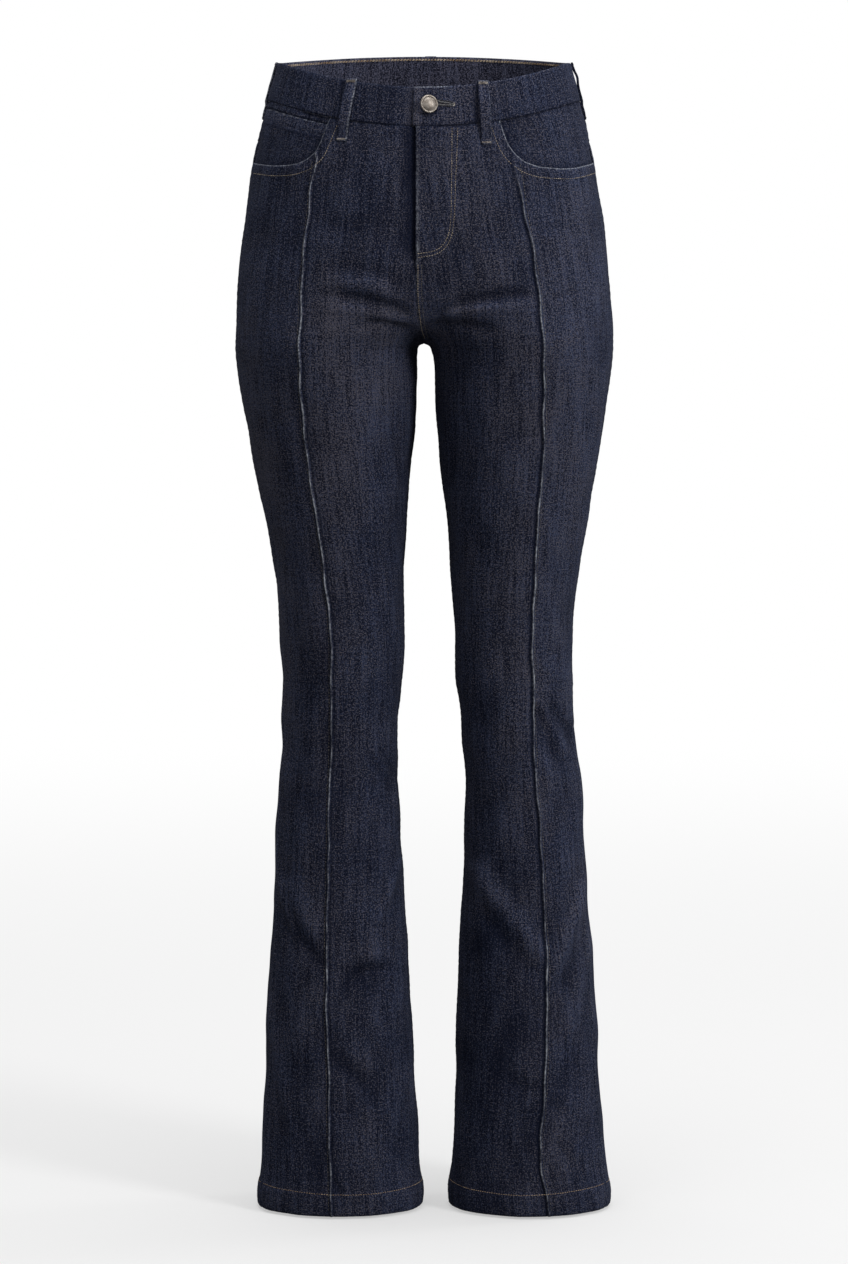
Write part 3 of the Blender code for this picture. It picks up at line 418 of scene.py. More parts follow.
REACH = {
    RIGHT: Smooth(("outer", "inner"), TORSO + RIGHT_LEG),
    LEFT: Smooth(("outer", "inner"), TORSO + LEFT_LEG),
}
DEPTH = Smooth(("front", "back", "web", "square", "turn"), DEPTHS)
CENTRE = Smooth(("front", "back"), CENTRE_SEAMS)
TUCK = {RIGHT: Smooth(("x",), TUCK_RIGHT), LEFT: Smooth(("x",), TUCK_LEFT)}
print("reach at the hip:", round(float(REACH[LEFT].at("outer", -200.0)), 1), "mm")


# %% [markdown]
# ## From the cut to a surface
#
# A leg is a rounded oval at each height. Above the crotch the two ovals merge, so that
# the cloth bridges the middle. One quarter of a section runs from the mid line to the
# side seam. Measuring along it gives a flat coordinate, as on the cut cloth, and a
# table of points by height and by share of that length makes every later look-up quick.

# %% A quarter of the garment
SAMPLES = 200           # points worked out on each section
SHARES = 241            # points kept of them, evenly along the cloth
FORM_FOOT, FORM_TOP = -1094.0, 44.0
HALVINGS = 26


def oval(side, z):
    """Middle, half width, bridge and squareness of one leg's section."""
    web = DEPTH.at("web", z)
    outer = np.hypot(REACH[side].at("outer", z), web)
    inner = REACH[side].at("inner", z)
    return (outer + inner) / 2.0, (outer - inner) / 2.0, web, DEPTH.at("square", z)


def section(side, face, z):
    """Distance from the mid line, y and length along the cloth, a row for each z."""
    z = np.asarray(z, dtype=float)[:, None]
    middle, half, web, square = oval(side, z)
    cut = np.clip((middle - web) / half, -0.999, 1.0)
    rise = np.maximum(1.0 - np.abs(cut) ** square, 0.0) ** (1.0 / square)
    start = np.arctan2(rise, cut)
    end = math.pi + np.radians(DEPTH.at("turn", z)) * (1.0 if face == BACK else -1.0)
    share = np.linspace(0.0, 1.0, SAMPLES)[None, :]
    angle = start + (end - start) * share * share
    cosine = np.cos(angle)
    sine = np.sin(angle)
    radius = (np.abs(cosine) ** square + np.abs(sine) ** square) ** (-1.0 / square)
    reach = middle - half * radius * cosine
    x = np.sqrt(np.maximum(reach * reach - web * web, 0.0))
    y = face * radius * sine
    y = y * np.where(y < 0.0, DEPTH.at("front", z), DEPTH.at("back", z))
    steps = np.cumsum(np.hypot(np.diff(x), np.diff(y)), axis=1)
    return x, y, np.concatenate([np.zeros_like(x[:, :1]), steps], axis=1)


class Quarter:
    """Points of one quarter by height and by length along the cloth."""

    def __init__(self, side, face):
        coarse = np.arange(FORM_FOOT, FORM_TOP, 2.0)
        fine = np.arange(CROTCH_Z - 6.0, CROTCH_Z + 12.0, 0.25)
        self.z = np.unique(np.concatenate([coarse, fine, [CROTCH_Z]]))
        x, y, length = section(side, face, self.z)
        self.full = length[:, -1]
        self.share = np.linspace(0.0, 1.0, SHARES)
        self.x = self.evenly(length, x)
        self.y = self.evenly(length, y)

    def evenly(self, length, spots):
        pairs = zip(length, spots)
        return np.array([np.interp(self.share * row[-1], row, spot) for row, spot in pairs])

    def rows(self, z):
        i = np.clip(np.searchsorted(self.z, z) - 1, 0, len(self.z) - 2)
        return i, (z - self.z[i]) / (self.z[i + 1] - self.z[i])

    def length(self, z):
        i, f = self.rows(z)
        return self.full[i] * (1.0 - f) + self.full[i + 1] * f

    def at(self, along, z):
        i, f = self.rows(z)
        full = self.full[i] * (1.0 - f) + self.full[i + 1] * f
        spot = np.clip(np.abs(along) / full, 0.0, 1.0) * (len(self.share) - 1)
        j = np.minimum(spot.astype(int), len(self.share) - 2)
        g = spot - j
        found = []
        for grid in (self.x, self.y):
            low = grid[i, j] * (1.0 - g) + grid[i, j + 1] * g
            high = grid[i + 1, j] * (1.0 - g) + grid[i + 1, j + 1] * g
            found.append(low * (1.0 - f) + high * f)
        return found


QUARTER = {(side, face): Quarter(side, face) for side in (RIGHT, LEFT) for face in (FRONT, BACK)}


def full_length(side, face, z):
    return QUARTER[side, face].length(np.asarray(z, dtype=float))


def length_at(side, face, x, z):
    """Length along the section at which the cloth is x from the mid line."""
    z = np.asarray(z, dtype=float)
    low = np.zeros(z.shape)
    high = full_length(side, face, z)
    for _ in range(HALVINGS):
        middle = (low + high) / 2.0
        short = QUARTER[side, face].at(middle, z)[0] < x
        low = np.where(short, middle, low)
        high = np.where(short, high, middle)
    return (low + high) / 2.0


def centre_shift(side, face, z):
    """How far a panel starts from the mid line, counted towards its own side."""
    return side * CENTRE.at("front" if face == FRONT else "back", z)


def tuck_length(side, z):
    return length_at(side, FRONT, TUCK[side].at("x", z), z)


def level(x, y, z):
    """Zero on the cloth, positive outside it."""
    away = np.abs(x)
    total = np.zeros_like(away)
    for side in (RIGHT, LEFT):
        mine = (x < 0.0) if side == RIGHT else (x >= 0.0)
        middle, half, web, square = oval(side, z)
        deep = np.where(y < 0.0, DEPTH.at("front", z), DEPTH.at("back", z))
        reach = np.sqrt(away * away + web * web)
        here = (np.abs(reach - middle) / half) ** square + (np.abs(y) / deep) ** square
        total = np.where(mine, here, total)
    return total - 1.0


def outward(points):
    """Unit normals of the cloth at points on it."""
    x, y, z = points[..., 0], points[..., 1], points[..., 2]
    step = 0.05
    slope = np.stack([
        level(x + step, y, z) - level(x - step, y, z),
        level(x, y + step, z) - level(x, y - step, z),
        level(x, y, z + step) - level(x, y, z - step),
    ], axis=-1)
    size = np.linalg.norm(slope, axis=-1, keepdims=True)
    return slope / np.maximum(size, 1e-12)


def bare(side, face, along, z):
    """Points and normals of the smooth form, before any crease."""
    x, y = QUARTER[side, face].at(along, z)
    x = x * np.where(along < 0.0, -side, side)
    points = np.stack([x, y, z], axis=-1)
    return points, outward(points)


print("hip section:", round(float(full_length(LEFT, FRONT, -200.0)), 1), "mm from mid line to side seam")

# %% [markdown]
# ## Creases
#
# Worn denim creases where the leg bends and where the cloth is pulled: fans at the
# crotch, a sharp fold inside each knee, and long soft rolls down the flare. Simulation
# would put them anywhere, so each is drawn as a path in the front or back view,
# with its own width and height. A trough has raised lips, because pushed-in cloth has
# to go somewhere.

# %% Broad folds shared with the CAD solids
FOLDS = {
    # x1, z1, x2, z2, half width, height
    FRONT: [
        (-82, -196, -12, -213, 8, -2.4), (-58, -223, -10, -231, 7, -1.8),
        (-85, -184, -30, -190, 9, 1.4), (24, -201, 102, -192, 8, -2),
        (10, -225, 66, -226, 7.5, -2.4), (14, -212, 100, -209, 8, 1.5),
        (106, -588, 148, -640, 9, -3.6), (-48, -634, -22, -682, 9, -3.4),
        (-137, -760, -96, -818, 13, 2.6), (-24, -742, -46, -806, 12, 2.4),
        (-74, -838, -44, -868, 15, -2.8), (44, -744, 80, -792, 12, 2.6),
        (80, -792, 116, -838, 13, 2.2), (157, -766, 122, -860, 11, 2.4),
    ],
    BACK: [
        (22, -252, 96, -262, 10, -3.2), (-20, -250, -104, -266, 10, -3.4),
        (60, -574, 126, -586, 9, -3.2), (52, -622, 132, -612, 10, -3.6),
        (-44, -578, -112, -590, 9, -3.4), (-40, -628, -122, -618, 10, -3.4),
        (58, -770, 128, -836, 14, 2.8), (-52, -780, -128, -844, 14, 2.8),
    ],
}

# %% Finer creases, each a path of (x, z)
CREASES = {
    # half width, height, path
    FRONT: [
        (4.5, -1.6, [(-103, -194), (-65, -197), (-37, -204), (-8, -217)]),
        (4, -1.5, [(-70, -227), (-41, -223), (-8, -229)]),
        (4.5, 0.9, [(-93, -209), (-51, -211), (-11, -223)]),
        (6, -0.7, [(-97, -166), (-60, -172), (-41, -176), (-12, -191)]),
        (7, 0.7, [(-104, -181), (-51, -186), (-12, -201)]),
        (7, -0.7, [(-107, -127), (-76, -130), (-41, -130)]), (10, 0.5, [(-104, -146), (-41, -153)]),
        (4.5, -1.6, [(8, -216), (20, -209), (52, -200), (76, -195), (109, -195)]),
        (3.2, 0.8, [(6, -222), (29, -211), (52, -208), (99, -204)]),
        (5, -1.7, [(8, -221), (29, -227), (72, -228)]),
        (3, -1, [(113, -200), (130, -197), (150, -191)]),
        (3.5, -0.9, [(102, -135), (125, -133), (147, -131)]), (8, 0.5, [(106, -146), (146, -146)]),
        (3, 1.9, [(-50, -628), (-46, -638), (-37, -653), (-24, -681)]),
        (6, -1.3, [(-60, -648), (-47, -672), (-35, -694)]),
        (4.6, 2.4, [(106, -580), (117, -598), (130, -622), (147, -648)]),
        (6, -2, [(108, -606), (120, -632), (136, -656)]),
        (4, -1.6, [(122, -588), (136, -612), (152, -634)]),
        (7, 0.8, [(112, -545), (128, -561), (143, -578)]),
        (2.8, 1.7, [(-142, -728), (-138, -768), (-130, -799), (-118, -832)]),
        (8, 1.2, [(-131, -777), (-115, -802), (-95, -827)]),
        (7, -1.2, [(-124, -811), (-106, -834), (-96, -843)]),
        (3.2, 1.7, [(-21, -736), (-32, -770), (-48, -806)]),
        (4.6, -2.2, [(-78, -878), (-72, -861), (-57, -848), (-24, -846)]),
        (7, 0.8, [(-84, -847), (-57, -834), (-31, -832)]),
        (7.5, -1.6, [(-89, -925), (-71, -946), (-51, -961)]), (7, 0.8, [(-60, -962), (-54, -994)]),
        (4, 1, [(-147, -893), (-142, -938), (-132, -987), (-125, -1019)]),
        (3.5, -1.4, [(-88, -1046), (-83, -1060), (-77, -1075)]),
        (9, 1.4, [(43, -740), (64, -775), (78, -789), (113, -829)]),
        (8, -1.5, [(50, -785), (78, -814), (107, -848), (117, -858)]),
        (4.6, 2.8, [(156, -756), (147, -794), (136, -822), (119, -870)]),
        (6, -2.2, [(163, -784), (152, -828), (136, -872)]),
        (5, 1, [(154, -824), (147, -877), (138, -923)]),
        (7.5, -1.5, [(80, -947), (98, -960), (115, -964)]),
        (4.5, 1.3, [(109, -964), (90, -990), (88, -1010), (97, -1042)]),
        (6, -1.1, [(119, -972), (137, -991)]), (10, -1, [(37, -868), (54, -920)]),
        (5, -0.8, [(128, -1012), (146, -1040)]), (6, 0.7, [(-60, -1018), (-40, -1050)]),
        (9, -0.6, [(-128, -330), (-60, -352)]), (9, -0.6, [(60, -338), (140, -322)]),
        (9, 0.5, [(-122, -470), (-50, -486)]), (9, 0.5, [(52, -488), (126, -470)]),
    ],
    BACK: [
        (4.5, -1.8, [(12, -246), (40, -256), (72, -262), (112, -254)]),
        (5, -1.3, [(26, -268), (58, -280), (104, -278)]),
        (5.5, 1, [(20, -258), (60, -271), (112, -267)]),
        (4.5, -1.9, [(-10, -245), (-44, -258), (-82, -266), (-118, -257)]),
        (5, -1.3, [(-22, -270), (-62, -284), (-100, -279)]),
        (5.5, 1, [(-18, -257), (-66, -274), (-116, -269)]),
        (7, -0.8, [(10, -214), (34, -204), (64, -199)]),
        (7, -0.8, [(-8, -212), (-36, -201), (-70, -198)]),
        (4, -1.6, [(48, -556), (78, -566), (104, -562), (134, -571)]),
        (4, -1.5, [(44, -594), (74, -590), (106, -599), (138, -592)]),
        (4.2, 1.2, [(50, -580), (88, -577), (130, -583)]),
        (4.5, -1.6, [(50, -640), (84, -630), (112, -636), (142, -628)]),
        (6, 1.1, [(52, -610), (96, -612), (138, -606)]),
        (6, -1, [(54, -668), (92, -660), (138, -668)]),
        (4, -1.6, [(-34, -560), (-62, -570), (-92, -564), (-128, -574)]),
        (4, -1.5, [(-32, -600), (-64, -594), (-98, -603), (-132, -596)]),
        (4.2, 1.2, [(-36, -584), (-80, -580), (-126, -587)]),
        (4.5, -1.6, [(-34, -646), (-66, -636), (-100, -642), (-134, -632)]),
        (6, 1.1, [(-36, -616), (-84, -618), (-128, -611)]),
        (6, -1, [(-38, -676), (-80, -666), (-128, -674)]),
        (5, 1.2, [(50, -726), (72, -764), (108, -806)]),
        (5, 1.2, [(146, -740), (128, -792), (112, -838)]),
        (6.5, -1.4, [(64, -872), (92, -856), (128, -866)]),
        (6, 1.1, [(-38, -734), (-60, -780), (-96, -818)]),
        (4.5, 1.2, [(-136, -746), (-120, -790), (-98, -842)]),
        (6.5, -1.4, [(-46, -884), (-80, -864), (-118, -876)]),
        (7, -1.2, [(70, -962), (104, -978), (140, -968)]),
        (7, -1.2, [(-54, -968), (-86, -984), (-122, -974)]),
        (5, 1, [(160, -900), (150, -960), (138, -1010)]),
        (5, 1, [(-30, -912), (-40, -970), (-56, -1020)]), (9, 0.6, [(50, -420), (120, -436)]),
        (9, 0.6, [(-44, -430), (-118, -442)]),
    ],
}


def by_face(table):
    """Rows of a table kept by face, each with its face in front."""
    return [(face, *row) for face, rows in table.items() for row in rows]


def soft_path(points, steps=8):
    """A smooth path through given points."""
    points = np.array(points, dtype=float)
    padded = np.vstack([2.0 * points[0] - points[1], points, 2.0 * points[-1] - points[-2]])
    t = (np.arange(steps) / steps)[:, None]
    found = []
    for a, b, c, d in zip(padded, padded[1:], padded[2:], padded[3:]):
        curve = 2.0 * b + (c - a) * t + (2.0 * a - 5.0 * b + 4.0 * c - d) * t ** 2
        found.append(0.5 * (curve + (3.0 * b - a - 3.0 * c + d) * t ** 3))
    return np.vstack(found + [points[-1:]])


def near_path(spots, path):
    """Distance to a path, and the share of it that is run by then."""
    best = np.full(len(spots), 1e9)
    share = np.zeros(len(spots))
    count = len(path) - 1
    for k in range(count):
        run = path[k + 1] - path[k]
        size = max(float(run @ run), 1e-9)
        offset = spots - path[k]
        t = np.clip((offset @ run) / size, 0.0, 1.0)
        away = offset - t[:, None] * run
        distance = np.hypot(away[:, 0], away[:, 1])
        closer = distance < best
        best = np.where(closer, distance, best)
        share = np.where(closer, (k + t) / count, share)
    return best, share


def broad_folds(x, y, z):
    total = np.zeros_like(x)
    for face, x1, z1, x2, z2, width, height in by_face(FOLDS):
        run = np.array([x2 - x1, z2 - z1])
        size = float(np.hypot(*run))
        run = run / size
        along = (x - x1) * run[0] + (z - z1) * run[1]
        across = (x - x1) * run[1] - (z - z1) * run[0]
        middle = along / size
        fade = np.clip(1.0 - np.abs(2.0 * middle - 1.0) ** 4, 0.0, 1.0)
        fade = np.where((middle < 0.0) | (middle > 1.0), 0.0, fade)
        total += height * bump(across, width) * fade * ramp(y * face, 4.0, 30.0)
    return total


def fine_creases(x, y, z):
    total = np.zeros_like(x)
    spots = np.stack([x, z], axis=-1)
    for face, width, height, corners in by_face(CREASES):
        path = soft_path(corners)
        reach = 3.5 * width
        low = path.min(axis=0) - reach
        high = path.max(axis=0) + reach
        hit = np.all((spots > low) & (spots < high), axis=-1) & (y * face > -2.0)
        if not hit.any():
            continue
        distance, share = near_path(spots[hit], path)
        fade = np.clip(1.0 - np.abs(2.0 * share - 1.0) ** 3, 0.0, 1.0)
        lips = 0.32 * bump(distance - 2.0 * width, 1.1 * width)
        shape = (bump(distance, width) - lips) * fade * ramp(y[hit] * face, -2.0, 7.0)
        total[hit] += height * shape
    return total


# %% The hand of the cloth
WAVES = [
    # wave length across, around and down in mm, height
    (120, 150, 210, 0.50), (85, 110, -130, 0.42), (-64, 90, 95, 0.34), (52, -70, 150, 0.26),
    (47, 60, 68, 0.20), (-36, 52, 88, 0.16), (30, 41, -57, 0.12), (24, -33, 36, 0.08),
    (-19, 27, 44, 0.06),
]


def hand(x, y, z):
    """Soft unevenness that runs on across every seam."""
    total = np.zeros_like(x)
    for k, (across, around, down, height) in enumerate(WAVES):
        phase = 2.0 * math.pi * (x / across + y / around + z / down) + 1.7 * k
        total += height * np.sin(phase + 0.8 * np.sin(2.0 * math.pi * z / 260.0 + k))
    return total


def pucker(distance, run, height, pitch, reach):
    """Small ripples beside a row of stitches."""
    wobble = 1.6 * np.sin(run / 19.0) + 0.9 * np.sin(run / 7.3 + 1.0)
    return height * bump(distance, reach) * np.sin(2.0 * math.pi * run / pitch + wobble)


def relief(points):
    """Height of every fold, crease and wave of a panel, calmer close to the waistband."""
    x, y, z = points[..., 0].ravel(), points[..., 1].ravel(), points[..., 2].ravel()
    calm = 1.0 - 0.7 * ramp(z, -60.0, -20.0)
    total = broad_folds(x, y, z) + fine_creases(x, y, z) + calm * hand(x, y, z)
    return total.reshape(points.shape[:-1])

# %% [markdown]
# The tone of the cloth isn't even: the crotch line, thighs and outer knees are lighter,
# partly where rubbing has faded the dye and partly as painted light, and hollows are
# darker as painted shade. Noise can't know where, so a short table gives soft patches,
# each with a place, a size and a change of tone.

# %% Where rubbing has changed the dye, and where light and shade are painted
FADES_AND_LIGHT = {
    # x, z, half width, half height, change of tone
    FRONT: [
        (-58, -125, 36, 80, -0.26), (-60, -290, 38, 75, 0.26), (134, -340, 32, 110, 0.38),
        (-160, -330, 22, 120, 0.18), (18, -250, 22, 40, 0.22), (76, -880, 38, 110, -0.16),
        (70, -1020, 42, 80, -0.18), (-108, -1000, 34, 80, -0.16), (-80, -700, 34, 160, -0.10),
        (120, -560, 26, 110, 0.12), (-52, -222, 46, 24, 0.40), (30, -222, 36, 20, 0.34),
        (-170, -300, 16, 80, 0.26), (-34, -272, 16, 46, 0.34), (-152, -380, 26, 120, 0.34),
        (-140, -560, 24, 130, 0.42), (140, -150, 24, 100, 0.20), (50, -470, 20, 70, 0.24),
        (150, -810, 16, 130, 0.16), (-90, -190, 26, 32, 0.18), (-98, -400, 20, 80, 0.18),
        (78, -120, 16, 34, -0.14), (-70, -966, 40, 28, -0.12), (62, -824, 17, 19, -0.30),
        (138, -1036, 22, 24, 0.12), (58, -784, 17, 16, 0.15), (84, -892, 18, 40, -0.10),
        (-104, -928, 18, 20, -0.18), (127, -964, 18, 20, -0.15), (104, -570, 16, 44, 0.20),
        (150, -270, 14, 40, 0.18), (-150, -970, 16, 90, 0.14), (96, -260, 26, 60, 0.08),
    ],
    BACK: [
        (84, -160, 52, 64, 0.16), (-84, -160, 52, 64, 0.16), (90, -400, 36, 130, 0.10),
        (-86, -400, 36, 130, 0.10), (100, -900, 40, 140, -0.12), (-96, -900, 40, 140, -0.12),
    ],
}


def fades_and_light(points):
    x, y, z = points[..., 0], points[..., 1], points[..., 2]
    total = np.zeros_like(x)
    for face, middle, height, wide, tall, change in by_face(FADES_AND_LIGHT):
        near = bump(x - middle, wide) * bump(z - height, tall)
        total += change * near * ramp(y * face, -30.0, 0.0)
    return total


print("creases:", len(by_face(FOLDS) + by_face(CREASES)), "fades:", len(by_face(FADES_AND_LIGHT)))

# %% [markdown]
# ## Walls of cloth
#
# Every piece is a closed wall: a grid of points on the outside, the same grid moved in
# by the cloth's thickness, and a rim that joins them. A grid keeps the panel's own flat
# coordinates, so the weave can run true to the grain. Columns crowd together at the
# edges and at the pintuck, where the cloth turns sharply, and spread out between.

# %% Grid, wall and object
EDGE_STEPS = np.array([0.0, 0.5, 1.2, 2.4])
RIDGE_STEPS = np.array([-3.4, -2.2, -1.5, -1.0, -0.6, -0.2, 0.3, 0.8, 1.3, 1.9, 2.6, 3.4, 4.6])
pieces = {}
sheets = []


def wall_quads(rows, columns):
    """Quads of the outside, then of the inside, then of the rim between them."""
    count = rows * columns
    corner = np.arange(count).reshape(rows, columns)
    quads = [corner[:-1, :-1], corner[:-1, 1:], corner[1:, 1:], corner[1:, :-1]]
    outside = np.stack([quad.ravel() for quad in quads], axis=1)
    inside = outside[:, ::-1] + count
    edge = np.concatenate([corner[0], corner[1:, -1], corner[-1, -2::-1], corner[-2:0:-1, 0]])
    after = np.roll(edge, -1)
    rim = np.stack([after, edge, edge + count, after + count], axis=1)
    return np.concatenate([outside, inside, rim])


def enclosed(points, quads):
    """A measure of the volume inside, below zero where the quads face inwards."""
    a, b, c, d = (points[quads[:, k]] for k in range(4))
    total = np.einsum("ij,ij->i", a, np.cross(b, c)) + np.einsum("ij,ij->i", a, np.cross(c, d))
    return float(total.sum())


def link_mesh(name, points, faces, finishes):
    """Link a smooth mesh of points in millimetres."""
    mesh = bpy.data.meshes.new(name)
    mesh.from_pydata((points * MM).tolist(), [], faces)
    for finish in finishes:
        mesh.materials.append(finish)
    mesh.polygons.foreach_set("use_smooth", np.ones(len(mesh.polygons), dtype=bool))
    piece = bpy.data.objects.new(name, mesh)
    scene.collection.objects.link(piece)
    pieces[name] = piece
    return piece


def add_mark(mesh, name, values):
    mark = mesh.attributes.new(name, "FLOAT", "POINT")
    mark.data.foreach_set("value", np.asarray(values, dtype=np.float32).ravel())


def add_flat(mesh, across, down):
    """The flat place of every point, in metres, as the UV map that the weave follows."""
    flat = np.stack([np.tile(across.ravel(), 2), np.tile(down.ravel(), 2)], axis=1) * MM
    corners = np.empty(len(mesh.loops), dtype=np.int32)
    mesh.loops.foreach_get("vertex_index", corners)
    layer = mesh.uv_layers.new(name="cloth")
    layer.data.foreach_set("uv", flat[corners].astype(np.float32).ravel())


def flat_size(along, z):
    """Width, length and area of a grid laid flat, in metres."""
    width = float((along.max(axis=1) - along.min(axis=1)).max()) * MM
    length = float((z.max(axis=0) - z.min(axis=0)).max()) * MM
    across = np.diff((along[:-1] + along[1:]) / 2.0, axis=1)
    down = -np.diff((z[:, :-1] + z[:, 1:]) / 2.0, axis=0)
    return width, length, float(np.abs(across * down).sum()) * MM * MM


def cloth_piece(name, outer, inner, along, z, marks, finishes, grain=0.0):
    """A wall of cloth; grain is the flat place of the line that the warp runs along."""
    rows, columns = outer.shape[:2]
    points = np.concatenate([outer.reshape(-1, 3), inner.reshape(-1, 3)])
    quads = wall_quads(rows, columns)
    skin = (rows - 1) * (columns - 1)
    slots = np.zeros(len(quads), dtype=np.int32)
    slots[skin:2 * skin] = len(finishes) - 1
    if enclosed(points, quads) < 0.0:
        quads = quads[:, ::-1]
    piece = link_mesh(name, points, quads.tolist(), finishes)
    piece.data.polygons.foreach_set("material_index", slots)
    add_flat(piece.data, along - grain, z)
    for key, values in marks.items():
        add_mark(piece.data, key, np.tile(values.ravel(), 2))
    sheets.append((piece, *flat_size(along, z)))
    return piece


def stand_off(points, normals, lift):
    """Points moved off the smooth form by a lift in millimetres."""
    return points + normals * lift[..., None]


def set_off(start, steps):
    """Columns that lie fixed steps from a line down the cloth."""
    return start[None] + steps.reshape(-1, *([1] * start.ndim))


def spread(start, end, count):
    """Columns between two lines, evenly, without the lines themselves."""
    share = np.linspace(0.0, 1.0, count + 2)[1:-1]
    return start[None] + share.reshape(-1, *([1] * start.ndim)) * (end - start)[None]


# %% [markdown]
# ## Dark denim
#
# Denim is a twill: dyed warp threads run down the leg and pale weft threads cross under
# them. From a step away that reads as near-black blue with fine pale specks, faint
# streaks down the grain where a thread is thicker, and a browner cast where the dye is
# thin, with a painted brown sheen where the cloth faces forwards, towards the light. Where
# the cloth is folded hard, as on the pintuck or a pocket's edge, the dye rubs off and the
# white core of the warp shows; the edge of a loop that faces the light gets a painted
# highlight as well. Four marks on each mesh guide this: "worn" says where the dye is rubbed
# off, "crest" how far a point stands out in the creases, which paints light on the crests
# and shade in the troughs, "fade" a change of tone over a hand's breadth, partly faded dye
# and partly painted light and shade, and "shade" where painted shade and shadow darken the
# cloth beside a seam, a lap, a loop, the tuck or the button and in the pockets' mouths.

# %% Weave them in nodes
TWILL_PITCH = 1.3
RUBBED = colour(0.40, 0.425, 0.475)
SHEEN = colour(0.62, 0.70, 0.90)
GRAINS = {
    # name: width and height of one grain on the cloth in mm, seed, detail
    "slub": (1.7, 38.0, 1.0, 2.0), "streak": (6.0, 130.0, 7.0, 1.0), "speck": (1.4, 1.3, 3.0, 2.0),
    "fleck": (1.15, 3.2, 9.0, 1.0), "weft": (3.6, 1.1, 5.0, 1.0), "pick": (34.0, 1.8, 11.0, 2.0),
}


def woven(finish):
    """Across and down the cloth, in millimetres."""
    flat = finish.node("ShaderNodeUVMap", {"uv_map": "cloth"}, {})
    across = finish.node("ShaderNodeSeparateXYZ", {}, {"Vector": flat}, "X")
    down = Signal(finish, across.socket.node.outputs["Y"])
    return across * 1000.0, down * 1000.0


def cloth_noise(finish, across, down, wide, tall, seed, detail):
    """Noise whose grains are wide by tall millimetres on the cloth."""
    spot = {0: across * (1.0 / wide), 1: down * (1.0 / tall), 2: seed}
    values = {"Scale": 1.0, "Detail": detail, "Roughness": 0.55}
    values["Vector"] = finish.node("ShaderNodeCombineXYZ", {}, spot)
    return finish.node("ShaderNodeTexNoise", {"noise_dimensions": "3D"}, values)


def denim(name, ink, blue, brown):
    finish = Finish(name)
    across, down = woven(finish)
    place = finish.place()
    worn, crest, shade, fade = (finish.mark(key) for key in ("worn", "crest", "shade", "fade"))
    grains = (cloth_noise(finish, across, down, *row) for row in GRAINS.values())
    slub, streak, speck, fleck, weft, pick = grains
    speck = speck.ramp(0.36, 0.74)
    fleck = fleck.ramp(0.38, 0.72)
    cloud = finish.noise(place, 13.0, 2.0)
    patch = finish.noise(place, 30.0, 2.0)
    normal = finish.node("ShaderNodeNewGeometry", {}, {}, "Normal")
    front = abs(finish.node("ShaderNodeSeparateXYZ", {}, {"Vector": normal}, "Y"))
    twill = ((across * 0.84 + down * 0.54) * (2.0 * math.pi / TWILL_PITCH)).sine()
    grain = speck * speck * 1.12 + fleck * fleck * 0.60 + weft.ramp(0.42, 0.72) * 0.26
    lines = slub.ramp(0.36, 0.64) * 0.30 + streak.ramp(0.34, 0.66) * 0.16
    lines = lines + pick.ramp(0.36, 0.66) * 0.12
    # Painted light and shade: the crest mark lightens crests and darkens troughs, and fade adds patches
    # that are partly faded dye and partly painted light and shade.
    painted_light_and_fade = (crest - 0.5) * 0.75 + fade * 1.50
    soft = cloud.ramp(0.33, 0.67) * 0.14 + 1.0
    tone = (grain + lines + twill * 0.05 - 0.13) * (soft + painted_light_and_fade) - 0.10
    # Painted brown sheen where the cloth faces forwards, towards the light, mixed with brown specks,
    # random patches and fade.
    brown_and_sheen = front.ramp(0.80, 1.0) * 0.24 + speck * speck * 1.1 + patch.ramp(0.40, 0.60) * 0.16
    brown_and_sheen = brown_and_sheen + fade * 0.50 - 0.10
    cloth = finish.mix(tone.ramp(-0.10, 1.25), ink, finish.mix(brown_and_sheen.ramp(0.0, 1.0), blue, brown))
    rubbed = worn * (0.60 + fleck * 0.8)
    cloth = finish.mix(rubbed.ramp(0.02, 1.0), cloth, RUBBED)
    # Painted shade and shadow: the shade mark darkens the cloth towards the ink.
    cloth = finish.mix(shade * 0.88, cloth, ink)
    height = twill * 0.5 + speck * 1.6 + slub * 0.6
    threads_up = {"Strength": 0.6, "Distance": 0.00025, "Height": height}
    finish.surface({
        "Base Color": cloth, "Roughness": 0.88, "Specular IOR Level": 0.05,
        "Normal": finish.node("ShaderNodeBump", {}, threads_up),
        "Sheen Weight": 0.02, "Sheen Roughness": 0.5, "Sheen Tint": SHEEN})
    return finish.material


DENIM = denim(
    "denim", colour(0.0036, 0.0056, 0.0160), colour(0.052, 0.065, 0.120), colour(0.108, 0.100, 0.120))
# The band's inside is a lighter copy of the denim: painted light on the inside of the back band, which
# the front band keeps out of the light.
LIT_FACING = denim(
    "denim_facing_painted_light", colour(0.009, 0.010, 0.020), colour(0.110, 0.120, 0.190),
    colour(0.128, 0.122, 0.168))
DENIM_INSIDE = denim(
    "denim_inside", colour(0.045, 0.050, 0.066), colour(0.17, 0.18, 0.22), colour(0.18, 0.17, 0.18))
print("denim nodes:", len(DENIM.node_tree.nodes))

# %% [markdown]
# ## Front panels
#
# A front runs from the waist seam to the hem and is cut away along the pocket's scoop.
# Down its middle runs a pintuck, a fold of cloth about 2 mm high that is sewn along its
# outer side. Cutting the mesh with separate parts would leave joints in the weave, so
# the fold is raised in the same grid, with columns set close where it turns.

